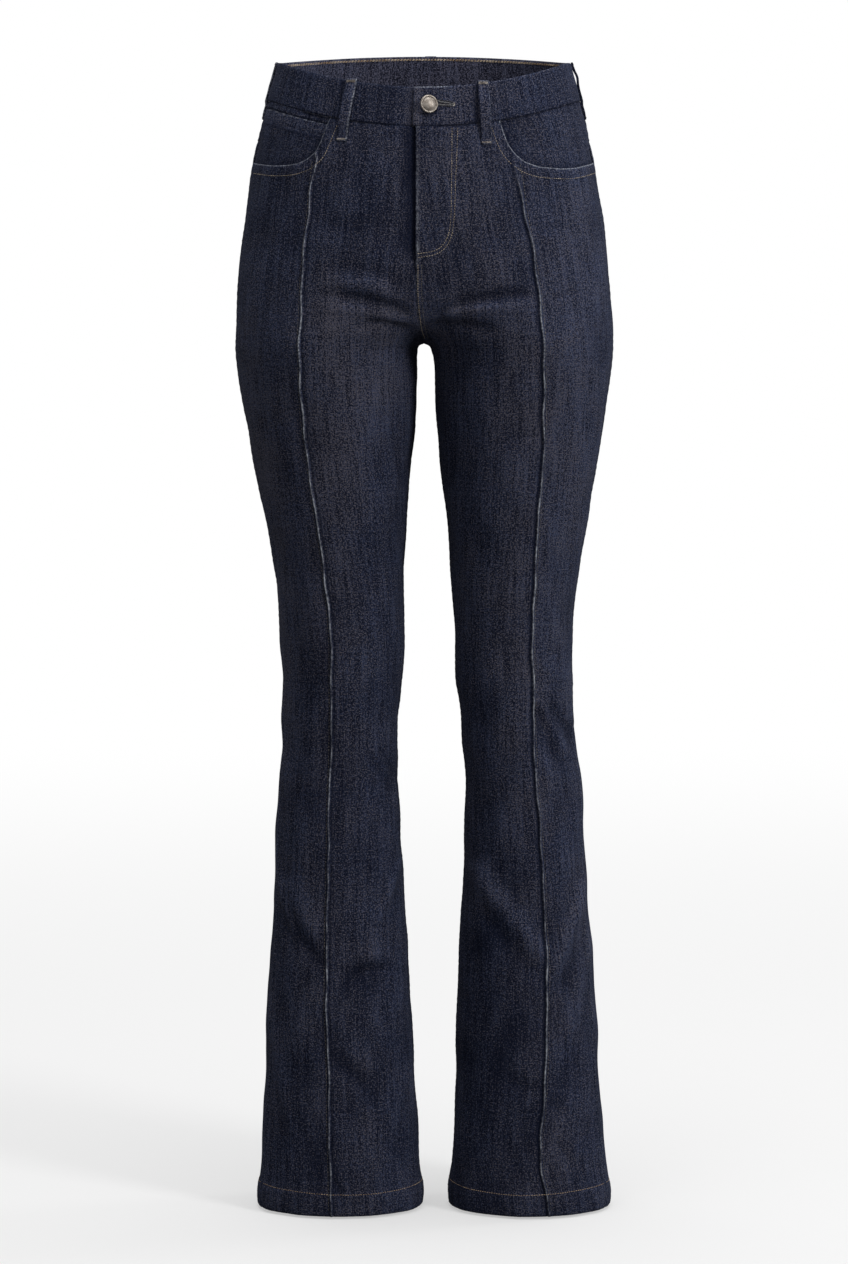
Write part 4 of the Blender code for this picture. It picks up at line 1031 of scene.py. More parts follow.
# %% Heights that bound a front
FRONT_TOP, FRONT_RISE = -1.0, 22.0      # the band's top edge at mid front, and its rise to the side
BACK_TOP, BACK_FALL = 27.0, 6.0
ROUNDS = 14             # a top edge depends on its own height, so it is found in rounds
UPPER_COUNT = 88        # rows above the crotch
UPPER_CROWD = 1.5
LEG_STEP, LEG_GROWTH, LEG_STEP_MOST = 0.5, 1.12, 2.9
TUCK_PROFILE = [
    # across towards the side seam, height
    (-3.4, 0), (-2.2, -0.25), (-1.2, -0.45), (-0.75, 0.2), (-0.35, 1.25), (0.1, 1.85), (0.7, 1.95),
    (1.3, 1.6), (2, 0.75), (2.6, 0.15), (3.4, 0), (4.6, 0),
]


def top_edge(x, face):
    """Height of the waistband's top edge: low in front, level at the sides."""
    share = np.clip(np.abs(x) / REACH[LEFT].at("outer", 0.0), 0.0, 1.0) ** 2
    if face == FRONT:
        return FRONT_TOP + FRONT_RISE * share
    return BACK_TOP - BACK_FALL * share


def waist_seam(x, face):
    return top_edge(x, face) - BAND_HEIGHT


def scoop_height(side, x):
    return between(SCOOP[side], np.abs(x))


def front_top(side, x):
    """Top edge of a front panel: the waist seam, or the scoop where that is lower."""
    return np.minimum(waist_seam(x, FRONT), scoop_height(side, x)) - SEAM


def leg_rows():
    """Heights from the crotch to the hem, close together where the legs part."""
    hem_top = HEM_Z + HEM_HEIGHT
    heights = [CROTCH_Z]
    step = LEG_STEP
    while heights[-1] - step > hem_top + 2.0:
        heights.append(heights[-1] - step)
        step = min(step * LEG_GROWTH, LEG_STEP_MOST)
    heights += [hem_top + 0.8, hem_top, hem_top - 0.8]
    heights += [hem_top - 0.8 - 2.4 * k for k in range(1, 9)]
    return np.array(heights + [HEM_Z + 1.2, HEM_Z + 0.5, HEM_Z])


LEG_ROWS = leg_rows()
CROTCH_ROW = len(EDGE_STEPS) + UPPER_COUNT - 2


def panel_rows(top):
    """Heights of every row of a leg panel, for columns whose top edge is at top."""
    start = top[None] - EDGE_STEPS[:, None]
    share = 1.0 - (1.0 - np.linspace(0.0, 1.0, UPPER_COUNT)[1:]) ** UPPER_CROWD
    upper = start[-1][None] + share[:, None] * (CROTCH_Z - start[-1])[None]
    lower = np.repeat(LEG_ROWS[1:, None], len(top), axis=1)
    return np.concatenate([start, upper, lower])


def hem_lift(z, along):
    """The turned-up hem: a thicker band with a rounded foot and a ropy twist."""
    inside = ramp(-z, -HEM_Z - HEM_HEIGHT - 1.0, -HEM_Z - HEM_HEIGHT + 1.0)
    share = np.clip((HEM_Z + HEM_HEIGHT - z) / HEM_HEIGHT, 0.0, 1.0)
    belly = 0.45 * np.sin(math.pi * share)
    rope = 0.20 * np.sin(2.0 * math.pi * (along + 1.1 * z) / 8.2 + 1.3 * np.sin(along / 23.0))
    return inside * (0.5 + belly + rope * ramp(share, 0.0, 0.3)) - 0.9 * bump(z - HEM_Z, 0.9)


def lining(lift, z):
    """Lift of the cloth's inside, deeper where the hem is turned up."""
    return lift - CLOTH - 0.9 * ramp(-z, 1064.0, 1066.0)


def edge_roll(distance, depth=0.75):
    return -depth * bump(distance, 1.1)


def crest_light_mark(lift):
    """Half way for a smooth place, 1 on a high crease and 0 in a deep one; it paints light on crests and
    shade in troughs.
    """
    return np.clip(0.5 + lift / 4.5, 0.0, 1.0)


print("rows of a leg panel:", len(EDGE_STEPS) + UPPER_COUNT - 1 + len(LEG_ROWS) - 1)

# %% The fly and the tuck
FLY_LIP = 1.9
FLY_DIP = 2.3
FLY_FOOT_Z = -160.0
TUCK_SWAY = {
    # mm below the top edge, width, how far the tuck is pushed there
    RIGHT: [(12.0, 11.0, 2.4), (33.0, 10.0, -1.0)],
    LEFT: [(12.0, 38.0, 2.6)],
}
TUCK_SHADES = {
    # mm from the crest towards the side seam, width, darkness of the painted shadows beside the tuck
    RIGHT: [(2.4, 0.9, 0.62), (-1.9, 1.0, 0.72)],
    LEFT: [(2.4, 0.9, 0.25), (-1.8, 1.35, 1.0)],
}
TUCK_START = {RIGHT: -1.0, LEFT: 8.5}       # mm below the top edge at which the crest turns pale
TUCK_WEAR = Smooth(("right", "left"), [
    # z, how far the dye is rubbed off the tuck's crest: the wearer's right, left
    (-40, 0.95, 0.60), (-86, 1.05, 0.62), (-120, 0.75, 0.70), (-150, 0.86, 0.76),
    (-206, 0.76, 0.76), (-250, 1.30, 1.02), (-312, 1.12, 0.98), (-379, 1.06, 1.00),
    (-456, 1.15, 1.00), (-533, 0.86, 1.12), (-590, 0.76, 1.10), (-648, 0.90, 0.72),
    (-705, 0.72, 0.60), (-782, 0.47, 0.53), (-840, 0.84, 1.15), (-917, 0.86, 1.15),
    (-974, 0.64, 0.78), (-1022, 0.70, 0.76), (-1061, 0.66, 0.70), (-1090, 0.62, 0.60),
])
SCOOP_WEAR = {RIGHT: 0.42, LEFT: 0.50}
CENTRE_ROLL = {RIGHT: 0.75, LEFT: 0.5}


def fly_part(side, away, z):
    """The wearer's left front laps the right one down to the foot of the fly."""
    closed = ramp(z, FLY_FOOT_Z - 20.0, FLY_FOOT_Z + 6.0)
    if side == LEFT:
        return FLY_LIP * (1.0 - ramp(away, 3.0, 38.0)) * closed
    return -FLY_DIP * bump(away, 7.5) * closed


def tuck_sway(side, z, below):
    """How far the tuck's crest wanders from its line, more so above the thigh."""
    hip = 1.0 - ramp(-z, 250.0, 420.0)
    sway = (0.35 + 0.30 * hip) * np.sin(z / 7.3) + (0.30 + 0.35 * hip) * np.sin(z / 17.0 + 1.0)
    for middle, width, push in TUCK_SWAY[side]:
        sway = sway + push * bump(below - middle, width)
    return sway


def front_wear_and_shade(side, points, z, below, away, to_side, crossing):
    """Where the dye of a front is rubbed off, and where painted shade and shadow darken it."""
    x = np.abs(points[..., 0])
    is_scoop = x > SCOOP[side][0][0] - 0.5
    slope = (scoop_height(side, x + 1.0) - scoop_height(side, x - 1.0)) / 2.0
    edge = below / np.sqrt(1.0 + slope ** 2)
    beads = 0.62 + 0.20 * np.sin(2.0 * math.pi * z / 3.3)
    beads = beads + 0.18 * np.sin(z / 9.0 + 2.0 * np.sin(z / 23.0))
    start = TUCK_START[side]
    rubbed = TUCK_WEAR.at(WORD[side], z)
    worn = rubbed * bump(crossing - 0.45, 0.75) * beads * ramp(below, start, start + 2.0)
    worn = np.maximum(worn, SCOOP_WEAR[side] * bump(edge - 0.4, 0.65) * is_scoop)
    worn = np.maximum(worn, 0.08 * bump(to_side - 2.2, 1.4))
    worn = np.maximum(worn, 0.08 * bump(z - HEM_Z - 0.4, 0.9))
    # Painted shadows on both sides of the tuck's ridge, then painted shade under the band seam.
    shade = sum(dark * bump(crossing - middle, width) for middle, width, dark in TUCK_SHADES[side])
    shade = shade * ramp(below, start + 1.0, start + 5.0)
    shade = np.maximum(shade, 0.40 * bump(below - 0.4, 0.9) * (1.0 - is_scoop))
    if side == LEFT:
        fly_edge = ramp(z, FLY_FOOT_Z - 60.0, FLY_FOOT_Z + 10.0)
        worn = np.maximum(worn, 0.54 * bump(away - 1.7, 1.4) * beads * (0.25 + 0.75 * fly_edge))
    else:
        # Painted shadow that the wearer's left front casts beside the fly's lap.
        lapped = ramp(z, FLY_FOOT_Z - 6.0, FLY_FOOT_Z + 10.0)
        shade = np.maximum(shade, (1.0 - ramp(away, 3.0, 19.0)) * (0.20 + 0.78 * lapped))
    return worn, shade


def front_lift(side, along, z, points, top):
    """How far the outside and the inside of a front stand off the form, and its marks."""
    to_side = full_length(side, FRONT, z) - along
    away = along - centre_shift(side, FRONT, z)
    across = along - tuck_length(side, z)
    below = top - z
    crossing = across + tuck_sway(side, z, below)
    fine = relief(points)
    fly = fly_part(side, away, z)
    ridge = between(TUCK_PROFILE, crossing) * ramp(below, -1.0, 4.0) * (0.92 + 0.08 * np.sin(z / 31.0))
    ripple = pucker(across, z, 0.16, 8.5, 5.0) + pucker(to_side, z, 0.18, 8.0, 7.0)
    ripple = ripple + pucker(away, z, 0.16, 7.4, 6.0)
    roll = edge_roll(to_side) + edge_roll(below, 0.6) + edge_roll(away, CENTRE_ROLL[side])
    lift = fine + (hem_lift(z, along) + fly) + ridge + ripple + roll
    worn, shade = front_wear_and_shade(side, points, z, below, away, to_side, crossing)
    marks = {
        "worn": worn, "crest": crest_light_mark(fine + 0.3 * ripple), "shade": shade,
        "fade": fades_and_light(points)}
    return lift, lining(fine + fly * 0.9, z), marks


# %% Front panels
INNER_COUNT = 38        # columns from the middle to the tuck, and from the tuck to the side
OUTER_COUNT = 28


def front_columns(side, z):
    start = centre_shift(side, FRONT, z) + SEAM
    end = full_length(side, FRONT, z) - SEAM
    tuck = tuck_length(side, z)
    return np.concatenate([
        set_off(start, EDGE_STEPS),
        spread(start + EDGE_STEPS[-1], tuck + RIDGE_STEPS[0], INNER_COUNT),
        set_off(tuck, RIDGE_STEPS),
        spread(tuck + RIDGE_STEPS[-1], end - EDGE_STEPS[-1], OUTER_COUNT),
        set_off(end, -EDGE_STEPS[::-1])])


def own_column(columns_of, side, z):
    """Each column's length at its own heights: z has a column for each column."""
    return np.stack([columns_of(side, z[:, j])[j] for j in range(z.shape[1])], axis=1)


def front_panel(side, name):
    count = 2 * len(EDGE_STEPS) + len(RIDGE_STEPS) + INNER_COUNT + OUTER_COUNT
    top = np.full(count, -40.0)
    for _ in range(ROUNDS):
        along = own_column(front_columns, side, top[None])[0]
        top = front_top(side, QUARTER[side, FRONT].at(along, top)[0])
    z = panel_rows(top)
    along = own_column(front_columns, side, z)
    points, normals = bare(side, FRONT, along, z)
    points[CROTCH_ROW, 0, :2] = (side * SEAM, FRONT * SEAM)
    lift, inside, marks = front_lift(side, along, z, points, np.broadcast_to(top, z.shape))
    outer = stand_off(points, normals, lift)
    inner = stand_off(points, normals, inside)
    grain = tuck_length(side, z)
    return cloth_piece(name, outer, inner, along, z, marks, [DENIM, DENIM_INSIDE], grain)


for side in (RIGHT, LEFT):
    piece = front_panel(side, "front_" + WORD[side])
    print(piece.name, len(piece.data.vertices), "points")

# %% [markdown]
# ## Back panels and yokes
#
# Each back hangs from a yoke, the shaped strip that fits the seat. The seam between
# them slopes down to the middle, and the seat seam joins the two sides. They use the
# same grid as the fronts, without a tuck.

# %% Backs and yokes
YOKE_DEPTH = [
    # share of the way to the side seam, yoke height
    (0.0, 74.0), (0.5, 54.0), (1.0, 38.0),
]
BACK_COUNT = 84
YOKE_ROWS_DOWN = 22
FAR = 99.0              # mm, a distance at which a seam has no effect


def back_columns(side, z):
    start = centre_shift(side, BACK, z) + SEAM
    end = full_length(side, BACK, z) - SEAM
    middle = spread(start + EDGE_STEPS[-1], end - EDGE_STEPS[-1], BACK_COUNT - 2 * len(EDGE_STEPS))
    return np.concatenate([set_off(start, EDGE_STEPS), middle, set_off(end, -EDGE_STEPS[::-1])])


def back_share(side, along, z):
    """Share of the way from the seat seam to the side seam."""
    start = centre_shift(side, BACK, z)
    return (along - start) / (full_length(side, BACK, z) - start)


def yoke_seam(x, share):
    return waist_seam(x, BACK) - between(YOKE_DEPTH, share)


def back_edge(side, with_yoke):
    """Height of the band seam, or of the yoke seam, over the back's columns."""
    z = np.zeros(BACK_COUNT)
    for _ in range(ROUNDS):
        along = own_column(back_columns, side, z[None])[0]
        x = QUARTER[side, BACK].at(along, z)[0]
        z = yoke_seam(x, back_share(side, along, z)) if with_yoke else waist_seam(x, BACK)
    return z


def back_lift(side, along, z, points, below, above):
    """Lift of a back piece; below and above are distances from its top and foot seams."""
    to_side = full_length(side, BACK, z) - along
    away = along - centre_shift(side, BACK, z)
    fine = relief(points)
    ripple = pucker(to_side, z, 0.18, 8.0, 7.0) + pucker(away, z, 0.16, 7.4, 6.0)
    ripple = ripple + pucker(below, along, 0.18, 7.7, 6.0) + pucker(above, along, 0.16, 7.1, 6.0)
    roll = edge_roll(to_side) + edge_roll(away) + edge_roll(below) + edge_roll(above)
    felled = 0.35 * (ramp(to_side, 1.0, 2.2) - ramp(to_side, 7.0, 10.0))
    lift = fine + hem_lift(z, along) + ripple + roll + felled
    worn = np.maximum(0.14 * bump(to_side - 2.2, 1.4), 0.12 * bump(z - HEM_Z - 0.4, 0.9))
    worn = np.maximum(worn, 0.22 * bump(below - 1.4, 1.2))
    seat = bump(np.abs(points[..., 0]) - 78.0, 52.0) * bump(z + 150.0, 62.0)
    worn = np.maximum(worn, 0.07 * seat)
    marks = {"worn": worn, "crest": crest_light_mark(fine + 0.3 * ripple), "fade": fades_and_light(points)}
    return lift, lining(fine, z), marks


def back_piece(side, name, z, top, foot):
    """A back panel, which has no foot seam, or the yoke over it."""
    along = own_column(back_columns, side, z)
    points, normals = bare(side, BACK, along, z)
    above = z - foot if foot is not None else np.full_like(z, FAR)
    if foot is None:
        points[CROTCH_ROW, 0, :2] = (side * SEAM, BACK * SEAM)
    lift, inside, marks = back_lift(side, along, z, points, top - z, above)
    outer = stand_off(points, normals, lift)
    inner = stand_off(points, normals, inside)
    grain = full_length(side, BACK, z)
    return cloth_piece(name, outer, inner, along, z, marks, [DENIM, DENIM_INSIDE], grain)


def back_panel(side, name):
    top = back_edge(side, True) - SEAM
    return back_piece(side, name, panel_rows(top), top, None)


def yoke(side, name):
    top = back_edge(side, False) - SEAM
    foot = back_edge(side, True) + SEAM
    room = foot - top + 2.0 * EDGE_STEPS[-1]
    share = np.linspace(0.0, 1.0, YOKE_ROWS_DOWN + 2)[1:-1]
    middle = (top - EDGE_STEPS[-1])[None] + share[:, None] * room[None]
    z = np.concatenate([top[None] - EDGE_STEPS[:, None], middle, foot[None] + EDGE_STEPS[::-1, None]])
    return back_piece(side, name, z, top, foot)


for side in (RIGHT, LEFT):
    back_panel(side, "back_" + WORD[side])
    yoke(side, "yoke_" + WORD[side])
print("backs and yokes made, pieces so far:", len(pieces))

# %% [markdown]
# ## Hip pieces and coin pocket
#
# The scoop of each front shows a second layer of the same denim, the hip piece, which
# fills the pocket's mouth. It lies close behind the front along the edge and comes
# nearly level with it further in. On the wearer's right a small coin pocket lies over
# it, and only its worn top edge shows under the waistband.

# %% What shows in the scoops
HIP_FOOT_Z = -88.0
HIP_START = {RIGHT: 0.31, LEFT: 0.26}     # share of the front at which the hip piece begins
# Painted shade over each hip piece, in the pocket's mouth.
HIP_SHADE = {RIGHT: 0.20, LEFT: 0.06}
HIP_COUNT = 72
HIP_ROWS = 52
HIP_CROWD = 1.15
COIN_CLOTH = 1.0
COIN_DROP = 7.0


def scoop_distance(side, points):
    """Distance from the pocket's edge, positive inside the scoop."""
    rows = np.array(SCOOP[side], dtype=float)
    x = np.abs(points[..., 0])
    spots = np.stack([x.ravel(), points[..., 2].ravel()], axis=-1)
    distance = near_path(spots, rows)[0].reshape(x.shape)
    inside = (points[..., 2] > scoop_height(side, x)) & (x > rows[0, 0])
    return np.where(inside, distance, -distance)


def hip_layer(side, name, drop, foot, behind, thickness):
    """A layer in the scoop: the coin pocket is the one whose top lies below the band."""
    is_coin = drop > 0.0
    share = np.linspace(HIP_START[side], 1.0, HIP_COUNT)
    down = np.linspace(0.0, 1.0, HIP_ROWS)[:, None] ** HIP_CROWD
    top = np.full(HIP_COUNT, -34.0)
    for _ in range(ROUNDS):
        x = QUARTER[side, FRONT].at(share * full_length(side, FRONT, top), top)[0]
        top = waist_seam(x, FRONT) - SEAM - drop
    z = top[None] + down * (foot - top)[None]
    along = share[None] * full_length(side, FRONT, z)
    along[:, -1] -= SEAM
    points, normals = bare(side, FRONT, along, z)
    x = np.abs(points[..., 0])
    seam = top[None] - z
    deep = scoop_distance(side, points)
    strip = (1.0 - ramp(seam, 5.0, 6.9)) * (behind > 0.0)
    fine = relief(points)
    # Painted shade in the pocket's mouth, darkest beside the scoop's edge; the coin pocket gets a painted
    # shadow under its fold, and the other hip piece painted shade under the band seam.
    shade = HIP_SHADE[side] + 0.45 * bump(np.maximum(deep, 0.0), 4.5)
    if is_coin:
        fine = fine - 0.35 * bump(seam - 11.0, 1.6) + 0.25 * bump(seam - 14.0, 2.0)
        fine = fine + 0.4 * np.sin(x / 8.0) * bump(seam, 3.0)
        shade = np.maximum(shade * ramp(seam, 6.0, 16.0), 0.80 * bump(seam - 13.6, 1.6))
    else:
        fine = fine + pucker(seam, x, 0.14, 7.0, 5.0)
        shade = np.maximum(shade * (1.0 - 0.7 * strip), 0.35 * bump(seam, 1.0))
    out = fine + 1.4 * ramp(deep, 13.0, 36.0) - CLOTH - 1.4 * GAP - behind * (1.0 - strip) + 0.3 * strip
    # The coin pocket's fade is a painted highlight on the strip above its fold.
    marks = {
        "worn": 0.52 * bump(seam - 0.4, 0.7) * (0.6 + 0.4 * np.sin(x / 1.1)) * is_coin,
        "crest": crest_light_mark(fine), "shade": shade, "fade": 0.16 * bump(seam - 6.0, 6.0) * is_coin}
    outer = stand_off(points, normals, out + edge_roll(seam, 0.3) * is_coin)
    inner = stand_off(points, normals, out - thickness)
    return cloth_piece(name, outer, inner, along, z, marks, [DENIM], along[:, -1:])


hip_layer(RIGHT, "hip_right", 0.0, HIP_FOOT_Z, COIN_CLOTH + GAP, PATCH_CLOTH)
hip_layer(LEFT, "hip_left", 0.0, HIP_FOOT_Z, 0.0, PATCH_CLOTH)
hip_layer(RIGHT, "coin_pocket", COIN_DROP, HIP_FOOT_Z + 4.0, 0.0, COIN_CLOTH)
print("scoop layers:", [key for key in pieces if "hip" in key or "coin" in key])

# %% [markdown]
# ## Waistband
#
# One strip goes round the waist. Its upper end stops on the wearer's right of the
# middle and lies over the lower end, which runs on behind it to hold the button. The
# band is doubled cloth, so it is thicker than a panel and stands a little proud of it.

# %% Waistband
BAND_LAP_X = 9.7
BAND_UNDER_X = 26.0
BAND_PROUD = 0.7
BAND_OVER_OUT = 1.5
BAND_UNDER_OUT = -1.0
BAND_STEPS = 60
BAND_SHARES = np.array([
    0.0, 0.012, 0.03, 0.06, 0.11, 0.18, 0.27, 0.37, 0.47, 0.57, 0.67, 0.76, 0.84, 0.90, 0.94, 0.965,
    0.982, 0.993, 1.0])
BAND_QUARTER = float(full_length(RIGHT, FRONT, -15.0))
BAND_LAP = BAND_LAP_X / BAND_QUARTER
# A crest mark above half way paints the whole band a little lighter.
BAND_CREST = 0.60
LOOP_SHADES = (-76.5, 47.8)     # where the two front loops keep the light off the band


def band_stations():
    """(side, face, share of the quarter, lower end) for each column, from the upper end."""
    rest = np.arange(BAND_STEPS) / BAND_STEPS
    back = 1.0 - rest
    runs = [
        (RIGHT, FRONT, BAND_LAP * np.array([1.0, 0.94, 0.84, 0.7, 0.5, 0.25]), 0.0),
        (LEFT, FRONT, rest, 0.0), (LEFT, BACK, back, 0.0), (RIGHT, BACK, rest, 0.0),
        (RIGHT, FRONT, back[back > 0.19], 0.0),
        (RIGHT, FRONT, np.linspace(0.18, 2.05 * BAND_LAP, 6), 0.0),
        (RIGHT, FRONT, np.linspace(2.0 * BAND_LAP, 0.25 * BAND_LAP, 8), 1.0),
        (LEFT, FRONT, np.linspace(0.0, BAND_UNDER_X / BAND_QUARTER, 8), 1.0),
    ]
    return [(side, face, share, lower) for side, face, shares, lower in runs for share in shares]


def band_seam(side, face, share):
    """Height of the seam between band and panels at shares of a quarter."""
    seam = np.full(np.shape(share), -37.0)
    for _ in range(10):
        x = QUARTER[side, face].at(share * full_length(side, face, seam), seam)[0]
        seam = waist_seam(x, face)
    return seam


def band_out(side, face, share, lower):
    """How far the band's face stands off the form."""
    if face == BACK:
        return np.full(np.shape(share), BAND_PROUD)
    if side == LEFT:
        upper = BAND_PROUD + (BAND_OVER_OUT - BAND_PROUD) * (1.0 - ramp(share, 0.02, 0.18))
    else:
        down = BAND_UNDER_OUT + (BAND_PROUD - BAND_UNDER_OUT) * ramp(share, 2.05 * BAND_LAP, 0.18)
        upper = np.where(share < 1.01 * BAND_LAP, BAND_OVER_OUT, down)
    return np.where(lower > 0.0, BAND_UNDER_OUT, upper)


def band_skin(side, face, share, lower, height):
    """Points, normals and lift of the band's face; height is a share of the band."""
    z = band_seam(side, face, share) + SEAM + height * (BAND_HEIGHT - SEAM)
    along = share * full_length(side, face, z)
    points, normals = bare(side, face, along, z)
    low = height * BAND_HEIGHT
    high = (1.0 - height) * BAND_HEIGHT
    run = side * along if face == FRONT else side * (400.0 - along)
    ripple = pucker(low, run, 0.13, 7.5, 5.0) + 0.10 * np.sin(run / 11.0) * bump(high, 6.0)
    soft = 0.14 * np.sin(run / 17.0 + height * 3.0) + 0.08 * np.sin(run / 6.1 + height * 5.0)
    return points, normals, band_out(side, face, share, lower) + ripple + soft * (1.0 - bump(high, 4.0))


def band_marks(column, end, face, spots, low):
    """Worn, shade and fade down a column of the band that is end columns from an end."""
    x = spots[:, 0]
    lap = 1.0 if column < 14 else 0.25
    worn = 0.40 * lap * bump(BAND_HEIGHT - low - 0.5, 0.8)
    if column < 2:
        worn = np.maximum(worn, 0.12)
    # Painted shade along the band's lower edge, where it meets the panels.
    shade = 0.45 * bump(low, 0.9)
    fade = np.zeros_like(low)
    if face == FRONT and end > 5:
        # Painted shadows beside the lap, beside each front loop and round the button; the fade here only
        # changes tone, darker between the right loop and the lap and towards the sides.
        shade += 0.62 * (1.0 - ramp(-BAND_LAP_X - x, 1.0, 14.0)) * (x < -BAND_LAP_X + 1.0)
        fade = -0.34 * bump(x + 42.0, 24.0) - 0.14 * ramp(np.abs(x), 56.0, 76.0)
        for place in LOOP_SHADES:
            shade += 0.90 * bump(x - place, 2.2)
        shade += 0.75 * bump(np.hypot(x - 3.2, spots[:, 2] + 18.0) - 8.6, 2.0)
    # Lighter near the lap's end.
    if face == FRONT and end <= 14:
        fade = 0.40 * bump(x + BAND_LAP_X, 8.0)
    return worn, np.clip(shade, 0.0, 1.0), fade


def waistband(name):
    stations = band_stations()
    rows = len(BAND_SHARES)
    shape = (rows, len(stations))
    outer = np.empty((*shape, 3))
    inner = np.empty_like(outer)
    flat = np.zeros(shape)
    worn, shade, fade = np.zeros((3, *shape))
    low = BAND_SHARES * BAND_HEIGHT
    rounded = 0.65 * bump(low, 0.8) + 0.75 * bump(BAND_HEIGHT - low, 1.0)
    for j, (side, face, share, lower) in enumerate(stations):
        points, normals, out = band_skin(side, face, np.full(rows, share), lower, BAND_SHARES)
        end = min(j, len(stations) - 1 - j)
        roll = rounded + (0.6, 0.15, 0.0)[min(end, 2)]
        outer[:, j] = stand_off(points, normals, out - roll)
        inner[:, j] = stand_off(points, normals, out - BAND_CLOTH + roll)
        if j:
            step = np.linalg.norm(outer[rows // 2, j] - outer[rows // 2, j - 1])
            flat[:, j] = flat[:, j - 1] + step
        worn[:, j], shade[:, j], fade[:, j] = band_marks(j, end, face, outer[:, j], low)
    heights = np.repeat(low[:, None], len(stations), axis=1)
    marks = {"worn": worn, "crest": np.full(shape, BAND_CREST), "shade": shade, "fade": fade}
    return cloth_piece(name, outer, inner, flat, heights, marks, [DENIM, LIT_FACING])


waistband("waistband")
print("waistband length:", round(sheets[-1][1] * 1000.0), "mm")

# %% [markdown]
# ## Belt loops
#
# A loop is a strip of denim folded in three, 11 mm wide, sewn down at both ends. Between
# them it bows a little off the band, as an empty loop does; the one on the wearer's left
# side bows out near its top. Folding leaves a thick middle and two turned edges, which
# rub pale first. The same face serves the cloth and the thread that is sewn through it.

# %% Belt loops
LOOP_PROFILE = [
    # share of the way down, share of the bow
    (0, 0), (0.07, 0), (0.16, 0.33), (0.30, 0.78), (0.50, 1), (0.70, 0.78), (0.84, 0.33), (0.93, 0),
    (1, 0),
]
LOOP_HALF = 5.4
LOOP_ROWS = 64
LOOP_STEPS = [1.2, 2.4, 3.4, 4.2, 4.8, 5.2, LOOP_HALF]
LOOP_ACROSS = np.array([-step for step in LOOP_STEPS[::-1]] + [0.0] + LOOP_STEPS)
# A crest mark well above half way paints the loops' faces lighter, as light on raised strips.
LOOP_CREST = 0.80
LOOP_CLEAR = 0.3
LOOP_RISE = 0.8
LOOP_OVER = 2.4         # a front loop's folded end stands this far above the band
LOOPS = {
    # name: side, face, x or share at the top, the same at the foot, top z, drop, bow, high bow
    "loop_front_right": (RIGHT, FRONT, 67.4, 77.6, None, 55.8, 2.7, 0.0),
    "loop_front_left": (LEFT, FRONT, 54.8, 58.2, None, 57.0, 2.7, 0.0),
    "loop_side_right": (RIGHT, BACK, 0.955, 0.955, 21.0, 54.0, 0.9, 0.0),
    "loop_side_left": (LEFT, BACK, 0.985, 0.985, 21.0, 54.0, 0.3, 1.6),
    "loop_back": (LEFT, BACK, 0.0, 0.0, 27.0, 54.0, 2.7, 0.0),
}
LOOP_BOW = Smooth(("bow",), LOOP_PROFILE)


def loop_skin(name, share, across):
    """Face of a loop: share runs down it and across is in mm from its middle."""
    side, face, first, last, top, drop, bow, high_bow = LOOPS[name]
    over = 0.0
    if face == FRONT:
        top = float(top_edge(np.array([first]), face)[0])
        over = LOOP_OVER
    z = top + over * (1.0 - ramp(share, 0.0, 0.12)) - share * drop
    place = first + share * (last - first)
    if face == FRONT:
        middle = length_at(side, face, place, z)
    else:
        start = centre_shift(side, BACK, z)
        middle = start + place * (full_length(side, BACK, z) - start)
    points, normals = bare(side, face, middle + across, z)
    lean = 0.15 * np.sin(share * 9.0 + first)
    belly = 0.22 * (1.0 - (across / LOOP_HALF) ** 2)
    press = 0.35 * (bump((share - 0.035) * drop, 2.2) + bump((share - 0.965) * drop, 2.2))
    grain = 0.10 * np.sin(z / 1.9 + across * 0.7) * bump(np.abs(across) - 3.4, 1.5)
    if face == FRONT:
        sewn = 1.0 - 0.9 * ramp(share, 0.66, 0.92)
        clear = (LOOP_RISE + LOOP_CLEAR) * sewn + bow * LOOP_BOW.at("bow", share)
    else:
        sewn = 1.0 - 0.9 * ramp(share, 0.67, 0.77)
        clear = (LOOP_RISE + LOOP_CLEAR + 0.4 * bow * LOOP_BOW.at("bow", share)) * sewn
        clear = clear + high_bow * bump(share - 0.27, 0.10)
    out = clear + LOOP_CLOTH + belly + lean - press + grain
    return points, normals, out


def loop(name):
    side, face = LOOPS[name][:2]
    drop = LOOPS[name][5]
    share, across = np.meshgrid(np.linspace(0.0, 1.0, LOOP_ROWS), LOOP_ACROSS, indexing="ij")
    points, normals, out = loop_skin(name, share.ravel(), across.ravel())
    points = points.reshape(*share.shape, 3)
    normals = normals.reshape(*share.shape, 3)
    out = out.reshape(share.shape)
    ends = np.minimum(share, 1.0 - share) * drop
    to_edge = LOOP_HALF - np.abs(across)
    roll = 0.55 * bump(to_edge, 0.55) + 0.4 * bump(ends, 0.7)
    bunched = 0.8 * bump(share - 0.708, 0.05) * (face == BACK)
    beads = 0.7 + 0.3 * np.sin(2.0 * math.pi * share * drop / 2.9)
    # Both turned edges rub pale; the edge towards the light gets a painted highlight on top, and the
    # other edge a painted shadow.
    lit = -side * face * across
    lit_edge_highlight = 0.46 if side == RIGHT else 0.16
    worn = (0.12 + lit_edge_highlight * (lit > 0.0)) * bump(to_edge - 0.5, 0.8) * beads
    worn = np.maximum(worn, 0.42 * bump(ends - 0.6, 1.0) * (0.6 + 0.4 * np.sin(across * 2.9)))
    shade = 0.85 * bump(LOOP_HALF + lit, 0.9)
    marks = {"worn": worn, "crest": np.full_like(worn, LOOP_CREST), "shade": shade}
    outer = stand_off(points, normals, out - roll)
    inner = stand_off(points, normals, out - LOOP_CLOTH - 0.2 - bunched + 0.5 * roll)
    return cloth_piece(name, outer, inner, across, -share * drop, marks, [DENIM])


